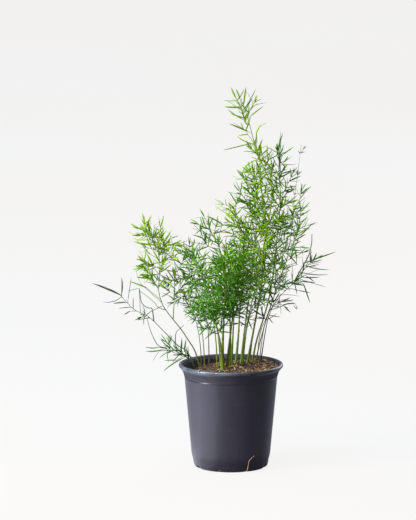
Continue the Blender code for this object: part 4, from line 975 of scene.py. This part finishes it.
def needleStamp():
    bm = bmesh.new()
    bmesh.ops.create_cone(bm, cap_ends=True, segments=4, radius1=1, radius2=0, depth=1,
                          matrix=Matrix.Translation((0, 0, 0.5)))
    for level in leafRings[1:-1]:
        bmesh.ops.bisect_plane(bm, geom=bm.verts[:] + bm.edges[:] + bm.faces[:], plane_co=(0, 0, level),
                               plane_no=(0, 0, 1))
    bmesh.ops.remove_doubles(bm, verts=bm.verts, dist=1e-5)
    for v in bm.verts:
        outward = Vector((v.co.x, v.co.y, 0))
        if outward.length > 1e-4:
            wide = np.interp(v.co.z, leafRings, leafWidths)
            v.co = outward.normalized() * wide + Vector((0, 0, v.co.z))
    return Stamp("cladode", bm)


def scaleStamp():
    bm = bmesh.new()
    bmesh.ops.create_cone(bm, cap_ends=True, segments=6, radius1=1, radius2=0.1, depth=1,
                          matrix=Matrix.Translation((0, 0, 0.5)))
    return Stamp("scaleLeaf", bm)


cladode, scale = needleStamp(), scaleStamp()
cladode.mesh.attributes.new("along", "FLOAT", "POINT")
cladode.mesh.attributes["along"].data.foreach_set("value", cladode.points[:, 2].astype(np.float32))


def frondLine(look):
    points = [[v / tenth for v in place] for place in look["route"]]
    points[0].append(soilHeight(*points[0]) - growth["socket"])
    return SmoothLine(points)


def traced(y, places):
    return [Vector((x / tenth, y / tenth, z / tenth)) for x, z in places]


# a cane thins towards its tip, and swells where it leaves the crown
def caneRadius(look, share, length):
    foot = look["swell"] * math.exp(-((share * length / growth["swellReach"]) ** 2))
    return look["radius"] * (1 + foot - growth["taper"] * share ** growth["taperPower"])


def hasRoom(*points):
    for p in points:
        if p.z > leaf["topOf"] or not leaf["leftOf"] < p.x < leaf["rightOf"]:
            return False
        if not leaf["frontOf"] < p.y < leaf["backOf"]:
            return False
    outside, above = pot["lipRadius"] + leaf["clearOfRim"], pot["height"] + leaf["clearOfRim"]
    return all(p.z > above or (p.xy.length > outside and p.z > leaf["lowest"]) for p in points)


def blend(first, second, share):
    return tuple(a + (b - a) * share for a, b in zip(first, second))


def sideAt(way, turn):
    side, up = across(way)
    return side * math.cos(turn) + up * math.sin(turn)


class Frond:
    def __init__(self, name, look, number):
        self.name, self.look, self.number = name, look, number
        self.tone, self.caneTone = tones[look["paint"] or look["tone"]], caneTones[look["cane"]]
        self.draw = random.Random(growth["seed"] + number)
        self.line = frondLine(look)
        self.canes, self.leaves, self.scales = bmesh.new(), bmesh.new(), bmesh.new()
        self.needles = 0

    def caneTint(self, share):
        colour = blend(*self.caneTone, min(1.0, share * growth["footColourOver"]))
        return blend(colour, self.tone[0], max(0.0, share - growth["greenFrom"]) * growth["greenGain"])

    def leafColour(self, height):
        # the bright and sunny tones are painted sunlit greens, and the dark tone is painted shade
        mixed = blend(*self.tone, self.draw.random() ** leaf["lightPower"])
        low = min(1.0, max(0.0, (leaf["coolBelow"] - height) / leaf["coolOver"]))
        if self.look["tone"] != "dark":
            cool = blend(*tones["cool"], self.draw.random())
            mixed = blend(mixed, cool, leaf["coolMost"] * low * self.draw.uniform(*leaf["coolDraw"]))
        return varied(mixed, self.draw, leaf["tintSpread"])

    # a needle curves at random, or through a middle point where one is given
    def needle(self, start, end, middle=None, middleShare=0.5):
        draw = self.draw
        reach = end - start
        way = reach.normalized()
        flat = sideAt(way, draw.uniform(0, math.pi))
        face = way.cross(flat)
        if middle is None:
            bend = (face * draw.uniform(*leaf["faceBend"]) + flat * draw.uniform(*leaf["flatBend"])) * reach.length
        else:
            bend = (middle - start - reach * middleShare) / (middleShare * middleShare - middleShare)
        longer = min(leaf["gainMost"], reach.length / leaf["usualLength"])
        half = draw.uniform(*leaf["width"]) * (leaf["leastWidth"] + leaf["widthGain"] * longer)
        half *= self.look["width"]
        s = cladode.points[:, 2:3]
        points = np.array(start) + s * np.array(reach) + (s * s - s) * np.array(bend)
        points = points + cladode.points[:, 0:1] * np.array(flat) * half
        points = points + cladode.points[:, 1:2] * np.array(face) * leaf["thickness"]
        cladode.put(self.leaves, points, self.leafColour(start.z))
        self.needles += 1

    def needleTo(self, place, tip):
        if hasRoom(tip):
            self.needle(place, tip)

    def tuft(self, place, way, out, length, count):
        draw = self.draw
        side = way.cross(out)
        spin = draw.uniform(*leaf["spin"])
        for k in range(count):
            turn = spin + (k - (count - 1) / 2) * draw.uniform(*leaf["spread"])
            aside = out * math.cos(turn) + side * math.sin(turn)
            lean = math.radians(draw.uniform(*leaf["leanDeg"]))
            leave = way * math.cos(lean) + aside * math.sin(lean)
            self.needleTo(place, place + leave * length * draw.uniform(*leaf["lengthDraw"]))

    # a branchlet with tufts along it and a few needles at its end
    def grow(self, line, radiusAt, leafFrom, length):
        draw = self.draw
        tint = self.caneTint(growth["twigTint"])
        sweepTube(self.canes, line, radiusAt, growth["twigSides"], growth["twigStep"], lambda s: tint, pointed=True)
        distance = line.length * leafFrom
        k = draw.randint(0, 20)
        while distance < line.length * growth["lastTuft"]:
            way = line.way(distance)
            out = sideAt(way, math.radians(growth["goldenDeg"]) * k)
            self.tuft(line.at(distance), way, out, length, draw.choice((1, 2, 2, 3)))
            distance += leaf["gap"] * draw.uniform(*growth["gapDraw"])
            k += 1
        if leafFrom > 1:
            return
        end, way = line.at(line.length), line.way(line.length)
        side, up = across(way)
        for k in range(leaf["tips"]):
            aside = side * draw.uniform(-1, 1) + up * draw.uniform(-1, 1)
            leave = (way + aside * leaf["tipSpread"]).normalized()
            self.needleTo(end, end + leave * length * draw.uniform(*leaf["tipLength"]))

    def cane(self):
        sweepTube(self.canes, self.line, lambda s: caneRadius(self.look, s, self.line.length), growth["caneSides"],
                  growth["ringStep"], self.caneTint, pointed=True)

    def bareNodes(self):
        distance = scaleLook["first"]
        k = self.number
        while distance < self.line.length * self.look["leafy"]:
            way = self.line.way(distance)
            out = sideAt(way, math.radians(growth["goldenDeg"]) * k)
            radius = caneRadius(self.look, distance / self.line.length, self.line.length)
            height = radius * scaleLook["height"]
            rise = way * height * scaleLook["long"] + out * radius * scaleLook["tilt"]
            points = np.array(self.line.at(distance) + out * radius * scaleLook["out"])
            points = points + scale.points[:, 2:3] * np.array(rise)
            points = points + scale.points[:, 0:1] * np.array(way.cross(out)) * radius * scaleLook["wide"]
            points = points + scale.points[:, 1:2] * np.array(out) * radius * scaleLook["thick"]
            scale.put(self.scales, points, varied(scaleLook["colour"], self.draw, scaleLook["tintSpread"]))
            distance += scaleLook["gap"] * self.draw.uniform(*scaleLook["gapDraw"])
            k += 1

    def plume(self):
        look, draw, line = self.look, self.draw, self.line
        distance = line.length * look["leafy"]
        k = 0
        while distance < line.length * growth["lastNode"]:
            climb = (distance / line.length - look["leafy"]) / (1 - look["leafy"])
            low, high = look["reach"]
            length = (low + (high - low) * climb) * min(1.0, growth["lengthAtFoot"] + growth["lengthGain"] * climb)
            length *= draw.uniform(*growth["lengthDraw"])
            lean = growth["leanAtFootDeg"] + (growth["leanAtTipDeg"] - growth["leanAtFootDeg"]) * climb
            lean = math.radians(lean + draw.uniform(*growth["leanDrawDeg"]))
            way = line.way(distance)
            out = sideAt(way, math.radians(growth["goldenDeg"]) * k + self.number)
            leave = way * math.cos(lean) + out * math.sin(lean)
            droop = draw.uniform(*growth["droop"])
            start = line.at(distance)
            points = [start + leave * (length * s) + Vector((0, 0, -droop * length * s * s))
                      for s in (0, 0.25, 0.5, 0.75, 1)]
            if hasRoom(*points):
                self.grow(SmoothLine(points, fine=4), lambda s: growth["twigRadius"] * (1 - 0.5 * s),
                          growth["twigLeafy"], look["needle"])
            self.tuft(start, way, -out, look["needle"], draw.choice((1, 1, 2)))
            distance += growth["nodeGap"] / look["full"] * draw.uniform(*growth["gapDraw"])
            for low, high in look["bare"]:
                if low < distance / line.length < high:
                    distance = line.length * high
            k += 1

    def spurs(self):
        for share, y, *places in self.look["spurs"]:
            points = traced(y, places)
            start = self.line.at(self.line.length * share)
            if (points[0] - start).length > growth["stalkFrom"]:
                sweepTube(self.canes, SmoothLine([start, points[0]], fine=4), lambda s: growth["stalkRadius"],
                          growth["stalkSides"], growth["stalkStep"], lambda s: self.caneTint(growth["stalkTint"]))
            if len(points) > 2:
                before, after = (points[1] - points[0]).length, (points[-1] - points[1]).length
                self.needle(points[0], points[-1], points[1], before / (before + after))
            else:
                self.needle(points[0], points[-1])

    def twigs(self):
        for share, radius, leafFrom, y, *places in self.look["twigs"]:
            line = SmoothLine([self.line.at(self.line.length * share)] + traced(y, places), fine=6)
            self.grow(line, lambda s: radius * (1 - 0.5 * s), leafFrom, self.look["needle"])

    # tallLeader stands for the node frond_tall_leader
    def finish(self):
        node = "frond_" + "".join("_" + c.lower() if c.isupper() else c for c in self.name)
        tail, slot = self.name[0].upper() + self.name[1:], "frond_" + self.look["tone"]
        addPiece("canes" + tail, self.canes, caneFinish, [node], smoothAngle=60)
        addPiece("cladodes" + tail, self.leaves, needleFinish, [node])
        addPiece("scales" + tail, self.scales, scaleFinish, [node])


def growPlant():
    total = 0
    for number, (name, look) in enumerate(fronds.items()):
        frond = Frond(name, {**usual, **look}, number)
        frond.cane()
        frond.bareNodes()
        frond.plume()
        frond.spurs()
        frond.twigs()
        frond.finish()
        total += frond.needles
    print("plant grown:", len(fronds), "fronds,", total, "cladodes")


growPlant()


# stage: a wide pale floor and soft studio light; each card stop is a direction in degrees and a strength
stageLook = dict(size=60, pale=0.905, shadeShare=0.04, bounce=0.25, surround=0.36, background=(0.97, 0.985, 1.0, 1),
                 floorGlow=0.965, floorTints=((0.995, 0.995, 1.0, 1), (1.0, 0.985, 0.965, 1)),
                 cardColour=(0.80, 0.825, 1.0, 1), cardStrength=3.3, cardNear=(0.070, 0.115), cardFar=(0.7, 1.4),
                 cardStops=[(0, 0.88), (12, 1.12), (22, 1.35), (30, 1.65), (40, 2.55), (52, 2.95), (85, 3.2),
                            (100, 2.4), (115, 1.6), (130, 1.1), (180, 0.45), (245, 0.42), (265, 0.35), (306, 0.36),
                            (335, 0.58), (360, 0.88)])

# lights: name, place, aim, size, power, colour
lights = [("leftBank", (-2.2, -0.9, 0.95), (0, 0, 0.2), (0.7, 1.3), 76, (0.94, 0.97, 1.0)),
          ("topBank", (-1.4, -1.2, 2.1), (0, 0, 0.30), (1.6, 1.0), 55, (1.0, 0.975, 0.90)),
          ("overhead", (-0.5, -0.2, 2.4), (0, 0, 0.2), (2.6, 2.2), 62, (0.96, 0.98, 1.0)),
          ("backFill", (1.6, 2.2, 1.4), (0, 0, 0.25), (3.0, 2.2), 34, (0.96, 0.98, 1.0)),
          ("rightEdge", (1.4, 1.6, 0.7), (0, 0, 0.12), (0.4, 1.4), 3, (0.80, 0.90, 1.0))]


# what a glossy surface finds in the floor: a bright card on the left, dimmer all round
def cardShader(tree, place, look):
    parts = splitUp(tree, place)
    turn = maths(tree, "ARCTAN2", parts["X"], parts["Y"])
    ramp = addNode(tree, "ShaderNodeValToRGB", None, i0=mapRange(tree, turn, -math.pi, math.pi))
    stops = ramp.color_ramp.elements
    while len(stops) < len(look["cardStops"]):
        stops.new(0.5)
    for stop, (angle, value) in zip(stops, look["cardStops"]):
        stop.position = angle / 360
        stop.color = (value / look["cardStrength"],) * 3 + (1,)
    away = addNode(tree, "ShaderNodeVectorMath", {"operation": "LENGTH"}, i0=place).outputs["Value"]
    far = mapRange(tree, away, *look["cardFar"], look["cardStrength"], 0.3)
    near = mapRange(tree, away, *look["cardNear"], 0.5, 1.0)
    glow = maths(tree, "MULTIPLY", maths(tree, "MULTIPLY", ramp.outputs[0], far), near)
    return addNode(tree, "ShaderNodeEmission", None, Color=look["cardColour"], Strength=glow).outputs[0]


# the floor looks evenly pale, with a faint shade near the pot, and lights the plant softly from below
def floorMaterial(look):
    material, tree, shader = newMaterial("paleFloor")
    shader.inputs["Base Color"].default_value = (look["bounce"],) * 3 + (1,)
    shader.inputs["Roughness"].default_value = 1.0
    shader.inputs["Specular IOR Level"].default_value = 0.0
    place = objectPlace(tree)
    tint = mixColours(tree, mapRange(tree, noiseAt(tree, place, 0.7, 1.0), 0.4, 0.6), *look["floorTints"])
    card = cardShader(tree, place, look)
    strength = look["pale"] * look["floorGlow"]
    glow = addNode(tree, "ShaderNodeEmission", None, Color=tint, Strength=strength).outputs[0]
    shade = addNode(tree, "ShaderNodeBsdfDiffuse", None, Color=(look["shadeShare"],) * 3 + (1,)).outputs[0]
    seen = addNode(tree, "ShaderNodeAddShader", None, i0=glow, i1=shade).outputs[0]
    rays = addNode(tree, "ShaderNodeLightPath").outputs
    both = addNode(tree, "ShaderNodeMixShader", None, i0=rays["Is Glossy Ray"], i1=shader.outputs[0], i2=card)
    both = addNode(tree, "ShaderNodeMixShader", None, i0=rays["Is Camera Ray"], i1=both.outputs[0], i2=seen)
    put(tree, tree.nodes["Material Output"].inputs["Surface"], both.outputs[0])
    return material


def setStage(look):
    bm = bmesh.new()
    bmesh.ops.create_grid(bm, x_segments=2, y_segments=2, size=look["size"])
    mesh = bpy.data.meshes.new("floor")
    bm.to_mesh(mesh)
    bm.free()
    floor = bpy.data.objects.new("floor", mesh)
    bpy.context.scene.collection.objects.link(floor)
    mesh.materials.append(floorMaterial(look))
    world = bpy.data.worlds.new("paleSurround")
    bpy.context.scene.world = world
    world.use_nodes = True
    tree = world.node_tree
    camera = addNode(tree, "ShaderNodeLightPath").outputs["Is Camera Ray"]
    background = tree.nodes["Background"]
    background.inputs["Color"].default_value = look["background"]
    put(tree, background.inputs["Strength"], mapRange(tree, camera, 0.0, 1.0, look["surround"], look["pale"]))
    for name, place, aim, size, power, colour in lights:
        data = bpy.data.lights.new(name, "AREA")
        data.shape = "RECTANGLE"
        data.size, data.size_y = size
        data.energy = power
        data.color = colour
        lamp = bpy.data.objects.new(name, data)
        bpy.context.scene.collection.objects.link(lamp)
        lamp.visible_camera = False
        lamp.location = place
        lamp.rotation_euler = (Vector(aim) - Vector(place)).to_track_quat("-Z", "Y").to_euler()


setStage(stageLook)
print("stage set")
